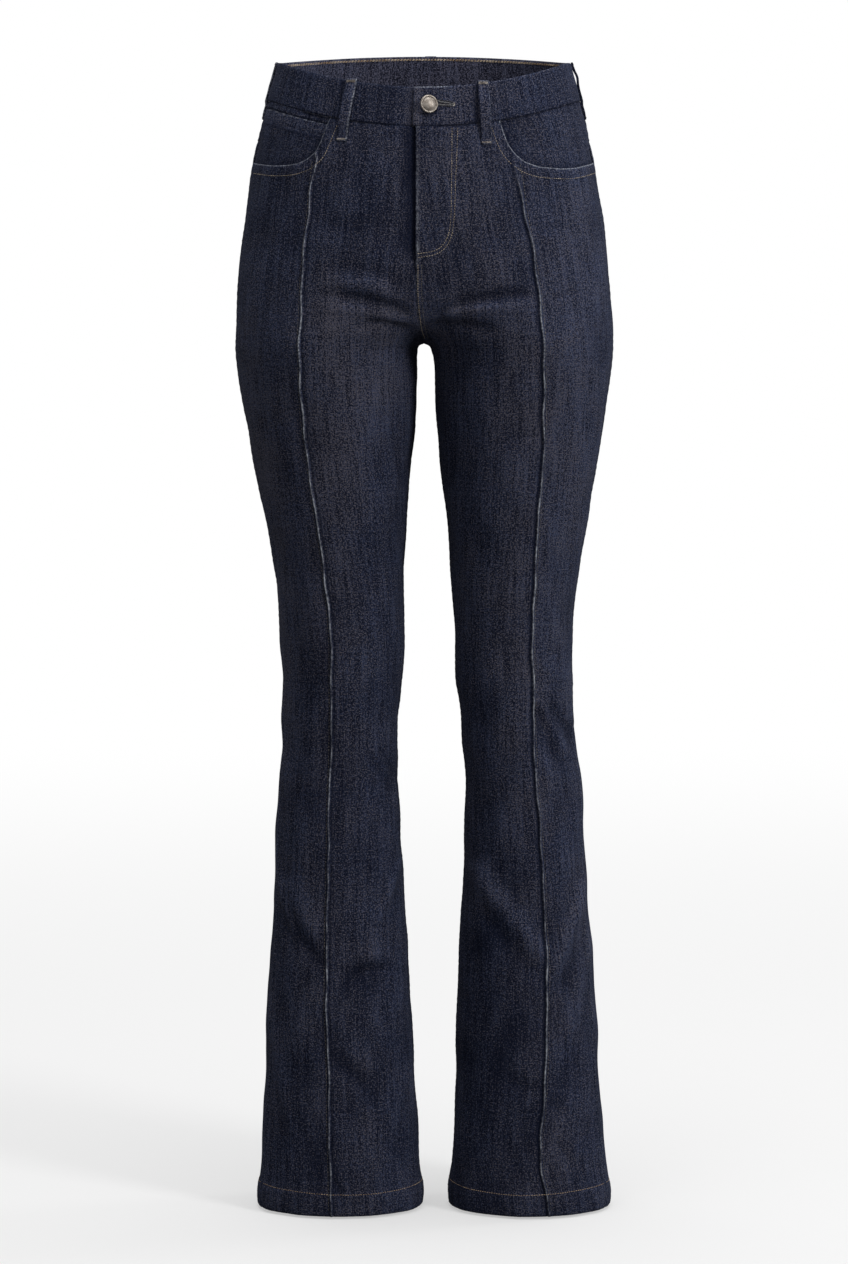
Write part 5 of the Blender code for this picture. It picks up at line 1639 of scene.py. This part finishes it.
for name in LOOPS:
    loop(name)
print("loops:", len(LOOPS))

# %% [markdown]
# ## Back patch pockets
#
# The photograph shows the front only, so the back gets the plainest usual answer: two
# flat patch pockets with a hemmed top and a pointed foot, sewn round with two rows.

# %% Back pockets
POCKET_MIDDLE = 118.0       # along the cloth from the mid line
POCKET_HALF_TOP = 68.0
POCKET_HALF_FOOT = 59.0
POCKET_HALF = 62.0          # the usual half width and length, by which rows are set in
POCKET_LENGTH = 128.0
POCKET_TOP_Z = -92.0
POCKET_TILT = 7.0
POCKET_HEIGHT = 122.0
POCKET_POINT = 13.0
POCKET_CLEAR = 0.5
POCKET_HEM = 19.0
POCKET_COUNT = 44           # rows and columns between the edge steps
POCKET_EDGE = np.array([0.0, 0.008, 0.02, 0.04])


def pocket_place(across, down):
    """Flat place of a spot on a back pocket; across is -1 to 1 and down is 0 to 1."""
    top = POCKET_TOP_Z + POCKET_TILT * across
    foot = POCKET_TOP_Z + POCKET_TILT * across * 0.5 - POCKET_HEIGHT
    foot = foot - POCKET_POINT * (1.0 - np.abs(across))
    half = POCKET_HALF_TOP + (POCKET_HALF_FOOT - POCKET_HALF_TOP) * down
    return POCKET_MIDDLE + half * across, top + down * (foot - top)


def pocket_skin(side, across, down):
    """Points, normals and lift, then the flat place and distances from the rim and the top."""
    along, z = pocket_place(across, down)
    points, normals = bare(side, BACK, along, z)
    rim = np.minimum(1.0 - np.abs(across), 1.0 - down) * POCKET_HALF
    below = down * POCKET_HEIGHT
    hem = 0.35 * (1.0 - ramp(below, POCKET_HEM, POCKET_HEM + 1.6))
    ripple = pucker(rim, along + z, 0.16, 7.3, 6.0)
    ripple = ripple + pucker(below - POCKET_HEM + 2.0, along, 0.14, 7.0, 5.0)
    belly = 0.5 * (1.0 - across * across) * np.sin(math.pi * np.clip(down, 0.0, 1.0))
    out = relief(points) + POCKET_CLEAR + PATCH_CLOTH + hem + ripple + belly
    return points, normals, out, along, z, rim, below


def back_pocket(side, name):
    middle = np.linspace(0.0, 1.0, POCKET_COUNT + 2)[1:-1] * 0.92 + POCKET_EDGE[-1]
    down = np.concatenate([POCKET_EDGE, middle, 1.0 - POCKET_EDGE[::-1]])
    across, down = np.meshgrid(2.0 * down - 1.0, down)
    points, normals, out, along, z, rim, below = pocket_skin(side, across, down)
    fine = relief(points)
    nearest = np.minimum(rim, below)
    worn = np.maximum(0.30 * bump(nearest - 0.5, 0.8), 0.08 * bump(rim - 4.0, 5.0))
    marks = {"worn": worn, "crest": crest_light_mark(fine)}
    outer = stand_off(points, normals, out - 0.5 * bump(nearest, 0.8))
    inner = stand_off(points, normals, fine + POCKET_CLEAR)
    return cloth_piece(name, outer, inner, along, z, marks, [DENIM])


for side in (RIGHT, LEFT):
    back_pocket(side, "back_pocket_" + WORD[side])
print("back pockets:", round(sheets[-1][1] * 1000.0), "mm wide")

# %% [markdown]
# ## Shank button
#
# The button is a pressed metal cap, 17 mm across, with a rolled rim round a low dome.
# It turns on its shank but stays closed here. The metal is an antique nickel: grey with
# a little warmth in cloudy patches, and darker in the groove.

# %% Button
BUTTON_X = 4.0
BUTTON_Z = -18.0
BUTTON_TURN = math.radians(17.0)    # it leans on its shank, pulled by the buttonhole
BUTTON_LIFT = 1.1
BUTTON_SEGMENTS = 72
BUTTON_PROFILE = [
    # radius, height above the band
    (0, 0.35), (3.3, 0.35), (3.6, 0.5), (3.6, 1.45), (3.8, 1.6), (7.6, 1.66), (8.1, 1.8), (8.45, 2.1),
    (8.6, 2.5), (8.58, 2.9), (8.42, 3.25), (8.15, 3.52), (7.8, 3.68), (7.42, 3.7), (7.08, 3.58),
    (6.85, 3.4), (6.66, 3.3), (6.4, 3.36), (6, 3.55), (5.2, 3.95), (4.2, 4.36), (3.1, 4.67),
    (2, 4.87), (1, 4.97), (0, 5),
]


def nickel():
    finish = Finish("antique_nickel")
    place = finish.place()
    grain = finish.noise(place, 900.0, 3.0)
    cloud = finish.noise(place, 260.0, 2.0)
    metal = finish.mix(cloud.ramp(0.35, 0.7), colour(0.27, 0.235, 0.205), colour(0.42, 0.38, 0.34))
    metal = finish.mix(finish.mark("worn") * 0.85, metal, colour(0.05, 0.04, 0.035))
    scratches = {"Strength": 0.25, "Distance": 0.00005, "Height": grain}
    finish.surface({
        "Base Color": metal, "Metallic": 1.0, "Roughness": grain * 0.25 + 0.42,
        "Normal": finish.node("ShaderNodeBump", {}, scratches)})
    return finish.material


def button(name):
    """The profile turned round its axis; returns the top of the dome."""
    spot_z = np.array([BUTTON_Z])
    along = length_at(LEFT, FRONT, np.array([BUTTON_X]), spot_z)
    points, normals = bare(LEFT, FRONT, along, spot_z)
    axis = Matrix.Rotation(BUTTON_TURN, 3, "Z") @ Vector(normals[0])
    across = axis.cross(Vector((0.0, 0.0, 1.0))).normalized()
    up = across.cross(axis)
    centre = points[0] + normals[0] * (BAND_OVER_OUT + BUTTON_LIFT)
    turn = np.linspace(0.0, 2.0 * math.pi, BUTTON_SEGMENTS, endpoint=False)
    ring = np.outer(np.cos(turn), across) + np.outer(np.sin(turn), up)
    spots = [centre + np.array(axis) * BUTTON_PROFILE[0][1]]
    groove = [0.0]
    for radius, height in BUTTON_PROFILE[1:-1]:
        spots += list(centre + np.array(axis) * height + radius * ring)
        groove += [float(bump(radius - 6.6, 0.35) * (height > 3.0))] * BUTTON_SEGMENTS
    spots.append(centre + np.array(axis) * BUTTON_PROFILE[-1][1])
    pairs = [(k, (k + 1) % BUTTON_SEGMENTS) for k in range(BUTTON_SEGMENTS)]
    firsts = range(1, len(spots) - 1, BUTTON_SEGMENTS)
    faces = [(0, 1 + b, 1 + a) for a, b in pairs]
    for low, high in zip(firsts, firsts[1:]):
        faces += [(low + a, low + b, high + b, high + a) for a, b in pairs]
    faces += [(firsts[-1] + a, firsts[-1] + b, len(spots) - 1) for a, b in pairs]
    piece = link_mesh(name, np.array(spots), faces, [nickel()])
    add_mark(piece.data, "worn", groove + [0.0])
    return spots[-1]


dome = button("waist_button")
print("button top is", round(-float(dome[1]), 1), "mm in front of the origin")

# %% [markdown]
# ## Thread
#
# The seams are sewn with a thick golden-tan thread, about 2.5 mm a stitch. Each row is
# drawn as a path on the finished surface, so that it dips into the creases with the
# cloth. The path is cut into stitches here, each a point with a direction and a length,
# and one Geometry Nodes group puts a small rounded strand on every point.

# %% Paths on the cloth
THREAD_RISE = 0.12
STITCH = 2.5
STITCH_LENGTH = 1.95


def along_at(side, face, x, z):
    """Flat place of a signed x, which may lie across the mid line."""
    own = side * x
    return np.sign(own) * length_at(side, face, np.abs(x), z)


def front_skin(side, along, z):
    points, normals = bare(side, FRONT, along, z)
    top = front_top(side, np.abs(points[..., 0]))
    lift = front_lift(side, along, z, points, top)[0]
    return stand_off(points, normals, lift + THREAD_RISE)


def back_skin(side, along, z, with_yoke=True):
    """A spot on a back panel or, with with_yoke off, on the yoke above it."""
    points, normals = bare(side, BACK, along, z)
    x = np.abs(points[..., 0])
    seam = yoke_seam(x, back_share(side, along, z))
    below, above = seam - z, np.full_like(z, FAR)
    if not with_yoke:
        below, above = waist_seam(x, BACK) - z, z - seam
    lift = back_lift(side, along, z, points, below, above)[0]
    return stand_off(points, normals, lift + THREAD_RISE)


def panel_skin(side, face, along, z):
    return front_skin(side, along, z) if face == FRONT else back_skin(side, along, z)


def cut_stitches(path, pitch=STITCH, length=STITCH_LENGTH):
    """Centres, directions and lengths of the stitches along a path."""
    steps = np.linalg.norm(np.diff(path, axis=0), axis=1)
    run = np.concatenate([[0.0], np.cumsum(steps)])
    middle = np.arange(pitch / 2.0, run[-1] - pitch / 2.0, pitch)

    def spot(distance):
        return np.stack([np.interp(distance, run, path[:, k]) for k in range(3)], axis=-1)

    turn = spot(middle + pitch * 0.4) - spot(middle - pitch * 0.4)
    turn = turn / np.maximum(np.linalg.norm(turn, axis=1, keepdims=True), 1e-9)
    return spot(middle), turn, np.full(len(middle), length)


def strands(starts, ends, overlap=0.0):
    """One stitch from each start to its end."""
    legs = ends - starts
    size = np.linalg.norm(legs, axis=1)
    return (ends + starts) / 2.0, legs / size[:, None], size + overlap


# %% The stitch group
def stitch_group():
    group = bpy.data.node_groups.new("stitches", "GeometryNodeTree")
    face = group.interface
    face.new_socket("Geometry", in_out="INPUT", socket_type="NodeSocketGeometry")
    for name, kind in (("Thickness", "NodeSocketFloat"), ("Unevenness", "NodeSocketFloat"),
                       ("Seed", "NodeSocketInt"), ("Thread", "NodeSocketMaterial")):
        face.new_socket(name, in_out="INPUT", socket_type=kind)
    face.new_socket("Geometry", in_out="OUTPUT", socket_type="NodeSocketGeometry")

    def add(kind, values=(), **settings):
        node = group.nodes.new(kind)
        for key, value in settings.items():
            setattr(node, key, value)
        for key, value in values:
            if isinstance(value, bpy.types.NodeSocket):
                group.links.new(value, node.inputs[key])
            else:
                node.inputs[key].default_value = value
        return node

    entry = add("NodeGroupInput")
    strand = add("GeometryNodeMeshUVSphere", [("Segments", 6), ("Rings", 4), ("Radius", 0.5)])
    run = add("GeometryNodeInputNamedAttribute", [("Name", "run")], data_type="FLOAT_VECTOR")
    long = add("GeometryNodeInputNamedAttribute", [("Name", "long")], data_type="FLOAT")
    turn = add("FunctionNodeAlignRotationToVector", [("Vector", run.outputs["Attribute"])], axis="Z")
    chance = add("FunctionNodeRandomValue", [("Seed", entry.outputs["Seed"])], data_type="FLOAT")
    spread_by = add("ShaderNodeMath", [(0, chance.outputs[1]), (1, entry.outputs["Unevenness"])],
                    operation="MULTIPLY")
    length = add("ShaderNodeMath", [(0, 1.0), (1, spread_by.outputs[0])], operation="SUBTRACT")
    length = add("ShaderNodeMath", [(0, length.outputs[0]), (1, long.outputs["Attribute"])],
                 operation="MULTIPLY")
    size = add("ShaderNodeCombineXYZ", [(0, entry.outputs["Thickness"]), (1, entry.outputs["Thickness"]),
                                        (2, length.outputs[0])])
    placed = add("GeometryNodeInstanceOnPoints", [
        ("Points", entry.outputs["Geometry"]), ("Instance", strand.outputs["Mesh"]),
        ("Rotation", turn.outputs["Rotation"]), ("Scale", size.outputs[0])])
    real = add("GeometryNodeRealizeInstances", [("Geometry", placed.outputs["Instances"])])
    smooth = add("GeometryNodeSetShadeSmooth", [("Geometry", real.outputs["Geometry"])])
    dyed = add("GeometryNodeSetMaterial", [
        ("Geometry", smooth.outputs["Geometry"]), ("Material", entry.outputs["Thread"])])
    add("NodeGroupOutput", [("Geometry", dyed.outputs["Geometry"])])
    return group


STITCHES = stitch_group()


UNEVENNESS = 0.16       # how much shorter than its room a stitch may be
THREAD_COLOURS = {
    # name: dark and light
    "thread_gold": ((0.20, 0.155, 0.10), (0.56, 0.46, 0.33)),
    "thread_tan": ((0.34, 0.215, 0.105), (0.66, 0.52, 0.36)),
    "thread_pale": ((0.17, 0.14, 0.11), (0.52, 0.46, 0.40)),
    "thread_dull": ((0.070, 0.062, 0.055), (0.20, 0.175, 0.145)),
    "thread_orange": ((0.26, 0.165, 0.085), (0.56, 0.40, 0.24)),
    "thread_grey": ((0.24, 0.23, 0.22), (0.62, 0.60, 0.57)),
    # near black: painted shade in the buttonhole's opening and beside its stitched rims
    "slit": ((0.003, 0.003, 0.004), (0.006, 0.006, 0.008)),
}


def thread_finish(name, dark, light):
    finish = Finish(name)
    patch = finish.noise(finish.place(), 120.0, 2.0)
    dye = finish.mix(patch.ramp(0.35, 0.65), colour(*dark), colour(*light))
    finish.surface({"Base Color": dye, "Roughness": 0.62, "Specular IOR Level": 0.3, "Sheen Weight": 0.2})
    return finish.material


THREAD = {name: thread_finish(name, *pair) for name, pair in THREAD_COLOURS.items()}
threads = {}


def sew(name, parts, thread, thickness, slot, seed):
    """Make one piece of thread from the stitches of several rows."""
    spots, runs, longs = (np.concatenate(part) for part in zip(*parts))
    source = bpy.data.meshes.new(name + "_points")
    source.from_pydata((spots * MM).tolist(), [], [])
    run = source.attributes.new("run", "FLOAT_VECTOR", "POINT")
    run.data.foreach_set("vector", runs.astype(np.float32).ravel())
    add_mark(source, "long", longs * MM)
    maker = bpy.data.objects.new(name + "_maker", source)
    scene.collection.objects.link(maker)
    nodes = maker.modifiers.new("stitches", "NODES")
    nodes.node_group = STITCHES
    sockets = [item for item in STITCHES.interface.items_tree if item.in_out == "INPUT"]
    inputs = {item.name: item.identifier for item in sockets}
    nodes[inputs["Thickness"]] = thickness * MM
    nodes[inputs["Unevenness"]] = UNEVENNESS
    nodes[inputs["Seed"]] = seed
    nodes[inputs["Thread"]] = THREAD[thread]
    ready = maker.evaluated_get(bpy.context.evaluated_depsgraph_get())
    mesh = bpy.data.meshes.new_from_object(ready)
    mesh.name = name
    mesh.materials.clear()
    mesh.materials.append(THREAD[thread])
    bpy.data.objects.remove(maker)
    piece = bpy.data.objects.new(name, mesh)
    scene.collection.objects.link(piece)
    threads[name] = (piece, slot)
    print(name, len(spots), "stitches")


# %% [markdown]
# The front's golden rows are the two curved rows of the fly, one row down the seam under
# it and the row round each pocket's scoop. A redder row holds each hem.

# %% Front rows
FLY_ROWS = [
    # x, z from the waist seam down to the foot of the fly
    [(26.2, -39), (25.8, -80), (24.9, -125.8), (20.6, -143.5), (11.2, -152.9), (-8, -156.6)],
    [(31.6, -39), (29.9, -80), (27.9, -125.8), (23.4, -145.4), (12.5, -156.2), (-8, -160.4)],
]
FLY_SEAM = (-166.0, -241.0)         # heights between which the seam under the fly is sewn
SEAT_SEAM = (-112.0, -241.0)
SCOOP_OFFSET = 9.6
HEM_STITCH_Z = -1065.4
HEM_STITCH_RISE = 3.0
ROW_POINTS = 160


def fly_row(spots):
    x, z = soft_path(spots, 14).T
    return front_skin(LEFT, along_at(LEFT, FRONT, x, z), z)


def scoop_row(side):
    """Points beside the pocket's edge, from the waistband to the side seam."""
    path = soft_path(SCOOP[side], 8)
    run = np.gradient(path, axis=0)
    run = run / np.linalg.norm(run, axis=1, keepdims=True)
    beside = path + SCOOP_OFFSET * np.stack([run[:, 1], -run[:, 0]], axis=-1)
    beside = beside[beside[:, 1] < -34.0]
    along = length_at(side, FRONT, beside[:, 0], beside[:, 1])
    keep = along < full_length(side, FRONT, beside[:, 1]) - 1.5
    return front_skin(side, along[keep], beside[keep, 1])


def hem_row(side, face):
    z = HEM_STITCH_Z + HEM_STITCH_RISE * np.linspace(-1.0, 1.0, ROW_POINTS) ** 2
    start = centre_shift(side, face, z) + 1.0
    end = full_length(side, face, z) - 1.0
    along = start + (end - start) * np.linspace(0.0, 1.0, ROW_POINTS)
    return panel_skin(side, face, along, z + 0.35 * np.sin(along / 21.0))


def beside_centre(face, distance, high, low):
    """A row down the wearer's left of the centre seam."""
    z = np.linspace(high, low, int(high - low))
    return panel_skin(LEFT, face, centre_shift(LEFT, face, z) + distance, z)


gold = [cut_stitches(fly_row(spots)) for spots in FLY_ROWS]
gold.append(cut_stitches(beside_centre(FRONT, 2.1, *FLY_SEAM)))
gold += [cut_stitches(scoop_row(side)) for side in (RIGHT, LEFT)]
hems = [cut_stitches(hem_row(side, face)) for side in (RIGHT, LEFT) for face in (FRONT, BACK)]
print("rows in front:", len(gold), "round the hems:", len(hems))

# %% [markdown]
# Behind, two rows hold each yoke's seam, two go round each patch pocket, two cross its
# hem and two run down the seat seam, as on a usual pair.

# %% Back rows
YOKE_ROWS = (2.0, 8.4)
POCKET_ROWS = (2.0, 8.0)
POCKET_HEM_ROWS = (2.0, 16.5)
SEAT_ROWS = (2.2, 8.4)


def yoke_row(side, distance):
    """A row on the yoke, a little above the seam with the back panel."""
    share = np.linspace(0.02, 0.985, 120)
    z = np.full(len(share), -80.0)
    for _ in range(ROUNDS):
        start = centre_shift(side, BACK, z)
        along = start + share * (full_length(side, BACK, z) - start)
        z = yoke_seam(QUARTER[side, BACK].at(along, z)[0], share) + distance
    return back_skin(side, along, z, False)


def on_pocket(side, across, down):
    points, normals, out = pocket_skin(side, across, down)[:3]
    return stand_off(points, normals, out + THREAD_RISE)


def pocket_row(side, inset):
    """Down one side of a back pocket, round its point and up the other."""
    inner = 1.0 - inset / POCKET_HALF
    low = 1.0 - inset / POCKET_LENGTH
    edge = np.linspace(0.015, low, 50)
    foot = np.linspace(-inner, inner, 60)[1:-1]
    across = np.concatenate([np.full(len(edge), -inner), foot, np.full(len(edge), inner)])
    down = np.concatenate([edge, np.full(len(foot), low), edge[::-1]])
    return on_pocket(side, across, down)


def pocket_hem_row(side, below):
    across = np.linspace(-0.96, 0.96, 60)
    return on_pocket(side, across, np.full(len(across), below / POCKET_LENGTH))


back_gold = []
for side in (RIGHT, LEFT):
    back_gold += [cut_stitches(yoke_row(side, distance)) for distance in YOKE_ROWS]
    back_gold += [cut_stitches(pocket_row(side, inset)) for inset in POCKET_ROWS]
    back_gold += [cut_stitches(pocket_hem_row(side, below)) for below in POCKET_HEM_ROWS]
back_gold += [cut_stitches(beside_centre(BACK, distance, *SEAT_SEAM)) for distance in SEAT_ROWS]
print("rows behind:", len(back_gold))

# %% [markdown]
# The pintuck is caught by a row of dull tan thread close to its foot, and the same thread
# edges the front seam's second row. The waistband has no row outside, but a golden chain
# stitch runs inside it just under the top edge.

# %% Tuck and band rows
TUCK_ROW = 2.9          # mm from the crest towards the side seam
BAND_PATH = [
    # side, face, first and last share of the quarter, round the band's inside
    (RIGHT, FRONT, 0.12, 1.0), (RIGHT, BACK, 1.0, 0.0), (LEFT, BACK, 0.0, 1.0), (LEFT, FRONT, 1.0, 0.12),
]


def tuck_row(side):
    z = np.arange(-70.0, HEM_Z + 4.0, -1.5)
    return front_skin(side, tuck_length(side, z) + TUCK_ROW, z)


def band_inside_row(below):
    path = []
    for side, face, first, last in BAND_PATH:
        share = np.linspace(first, last, 90)
        height = np.full(90, 1.0 - below / BAND_HEIGHT)
        points, normals, out = band_skin(side, face, share, np.zeros(90), height)
        path.append(stand_off(points, normals, out - BAND_CLOTH - THREAD_RISE))
    return np.concatenate(path)


dull = [cut_stitches(tuck_row(side), 3.3, 2.5) for side in (RIGHT, LEFT)]
dull.append(cut_stitches(beside_centre(FRONT, 5.7, *FLY_SEAM)))
chain = [cut_stitches(band_inside_row(below), 3.0, 2.9) for below in (2.2, 3.2)]
print("rows of dull thread:", len(dull), "inside the band:", len(chain))

# %% [markdown]
# Bartacks are bars of close stitches to and fro that take the pull at a loop's ends. The
# buttonhole is a slit with short stitches set square to it all round. Its rim is drawn in
# the front view as pairs of places, and each pair becomes one stitch on the band's face.

# %% Bartacks and the buttonhole
TACK_HALF = 4.4
TACK_DEEP = 1.9
TACK_TURNS = 15
TACK_SHARES = (0.035, 0.965)
HOLE_START = np.array([11.0, -16.0])
HOLE_END = np.array([27.2, -17.6])


def loop_tack(name, share):
    """To and fro across a loop's end."""
    across = np.linspace(-TACK_HALF, TACK_HALF, TACK_TURNS)
    swing = np.where(np.arange(TACK_TURNS) % 2 == 0, 0.5, -0.5) * TACK_DEEP / LOOPS[name][5]
    points, normals, out = loop_skin(name, share + swing, across)
    corners = stand_off(points, normals, out + THREAD_RISE)
    return strands(corners[:-1], corners[1:], 0.25)


def band_spot(x, z):
    """Face of the band at a front place on the wearer's left."""
    share = length_at(LEFT, FRONT, x, z) / full_length(LEFT, FRONT, z)
    height = (z - band_seam(LEFT, FRONT, share)) / BAND_HEIGHT
    points, normals, out = band_skin(LEFT, FRONT, share, np.zeros(np.shape(x)), height)
    return stand_off(points, normals, out + THREAD_RISE)


def band_stitches(pairs):
    """A stitch on the band's face between the two (x, z) places of each pair."""
    pairs = np.array(pairs)
    return strands(band_spot(*pairs[:, 0].T), band_spot(*pairs[:, 1].T))


def hole_gap(share):
    """Half the distance between the two stitched rims, wider beside the button."""
    return 1.45 - 0.75 * share


def buttonhole():
    """Short stitches set square to the slit, all round it."""
    run = HOLE_END - HOLE_START
    size = float(np.hypot(*run))
    run = run / size
    beside = np.array([-run[1], run[0]])
    pairs = []
    for distance in np.arange(0.0, size, 0.62):
        for sign in (1.0, -1.0):
            foot = HOLE_START + run * distance + beside * sign * (hole_gap(distance / size) - 0.4)
            pairs.append((foot, foot + beside * sign * 0.9 + run * 0.15))
    for angle in np.linspace(-1.4, 1.4, 8):
        way = run * math.cos(angle) + beside * math.sin(angle)
        pairs.append((HOLE_END + way * 0.55, HOLE_END + way * 2.1))
    return band_stitches(pairs)


def slit(beside):
    """A dark line along the buttonhole, painted shade: in the opening, and beside each stitched rim."""
    share = np.linspace(0.0, 1.0, 9)[:, None]
    run = HOLE_END - HOLE_START
    aside = beside * (hole_gap(share) + 1.3) * np.array([-run[1], run[0]]) / np.hypot(*run)
    path = HOLE_START + share * run + aside
    return cut_stitches(band_spot(path[:, 0], path[:, 1]), 1.2, 2.4)


def knot():
    """The bar of thread that closes the buttonhole's outer end."""
    turn = np.linspace(-1.3, 1.3, 9)
    foot = HOLE_END + np.stack([0.4 + 0.35 * np.cos(3.0 * turn), turn - 0.9], axis=-1)
    head = HOLE_END + np.stack([1.5 + 0.35 * np.sin(5.0 * turn), turn + 0.9], axis=-1)
    return band_stitches(np.stack([foot, head], axis=1))


tacks = [loop_tack(name, share) for name in LOOPS for share in TACK_SHARES]
opening = [slit(beside) for beside in (-1.0, 0.0, 1.0)]
SEWN = [
    # piece, stitches, thread, thickness in mm, slot, seed
    ("thread_front", gold, "thread_gold", 0.58, "front_left", 3),
    ("thread_hems", hems, "thread_orange", 0.54, "back_left", 17),
    ("thread_back", back_gold, "thread_gold", 0.46, "back_left", 5),
    ("thread_tucks", dull, "thread_dull", 0.46, "front_left", 7),
    ("thread_tacks", tacks + [knot()], "thread_pale", 0.40, "loop_front_left", 9),
    ("thread_inside", chain, "thread_tan", 0.62, "waistband", 13),
    ("thread_buttonhole", [buttonhole()], "thread_grey", 0.36, "waistband", 11),
    ("thread_slit_shade", opening, "slit", 1.0, "waistband", 15),
]
for row in SEWN:
    sew(*row)

# %% [markdown]
# ## Hand over
#
# Each piece rides on the one rigid body and stands for its CAD node, which is hidden. The
# flat cut of each sheet, measured on its own flat coordinates, is printed.

for name, piece in pieces.items():
    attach(piece, "root")
    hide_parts(name)
for name, (piece, slot) in threads.items():
    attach(piece, "root")
for piece, width, length, area in sheets:
    print(piece.name, "flat", round(width, 3), "x", round(length, 3), "m, area", round(area, 4), "m2")
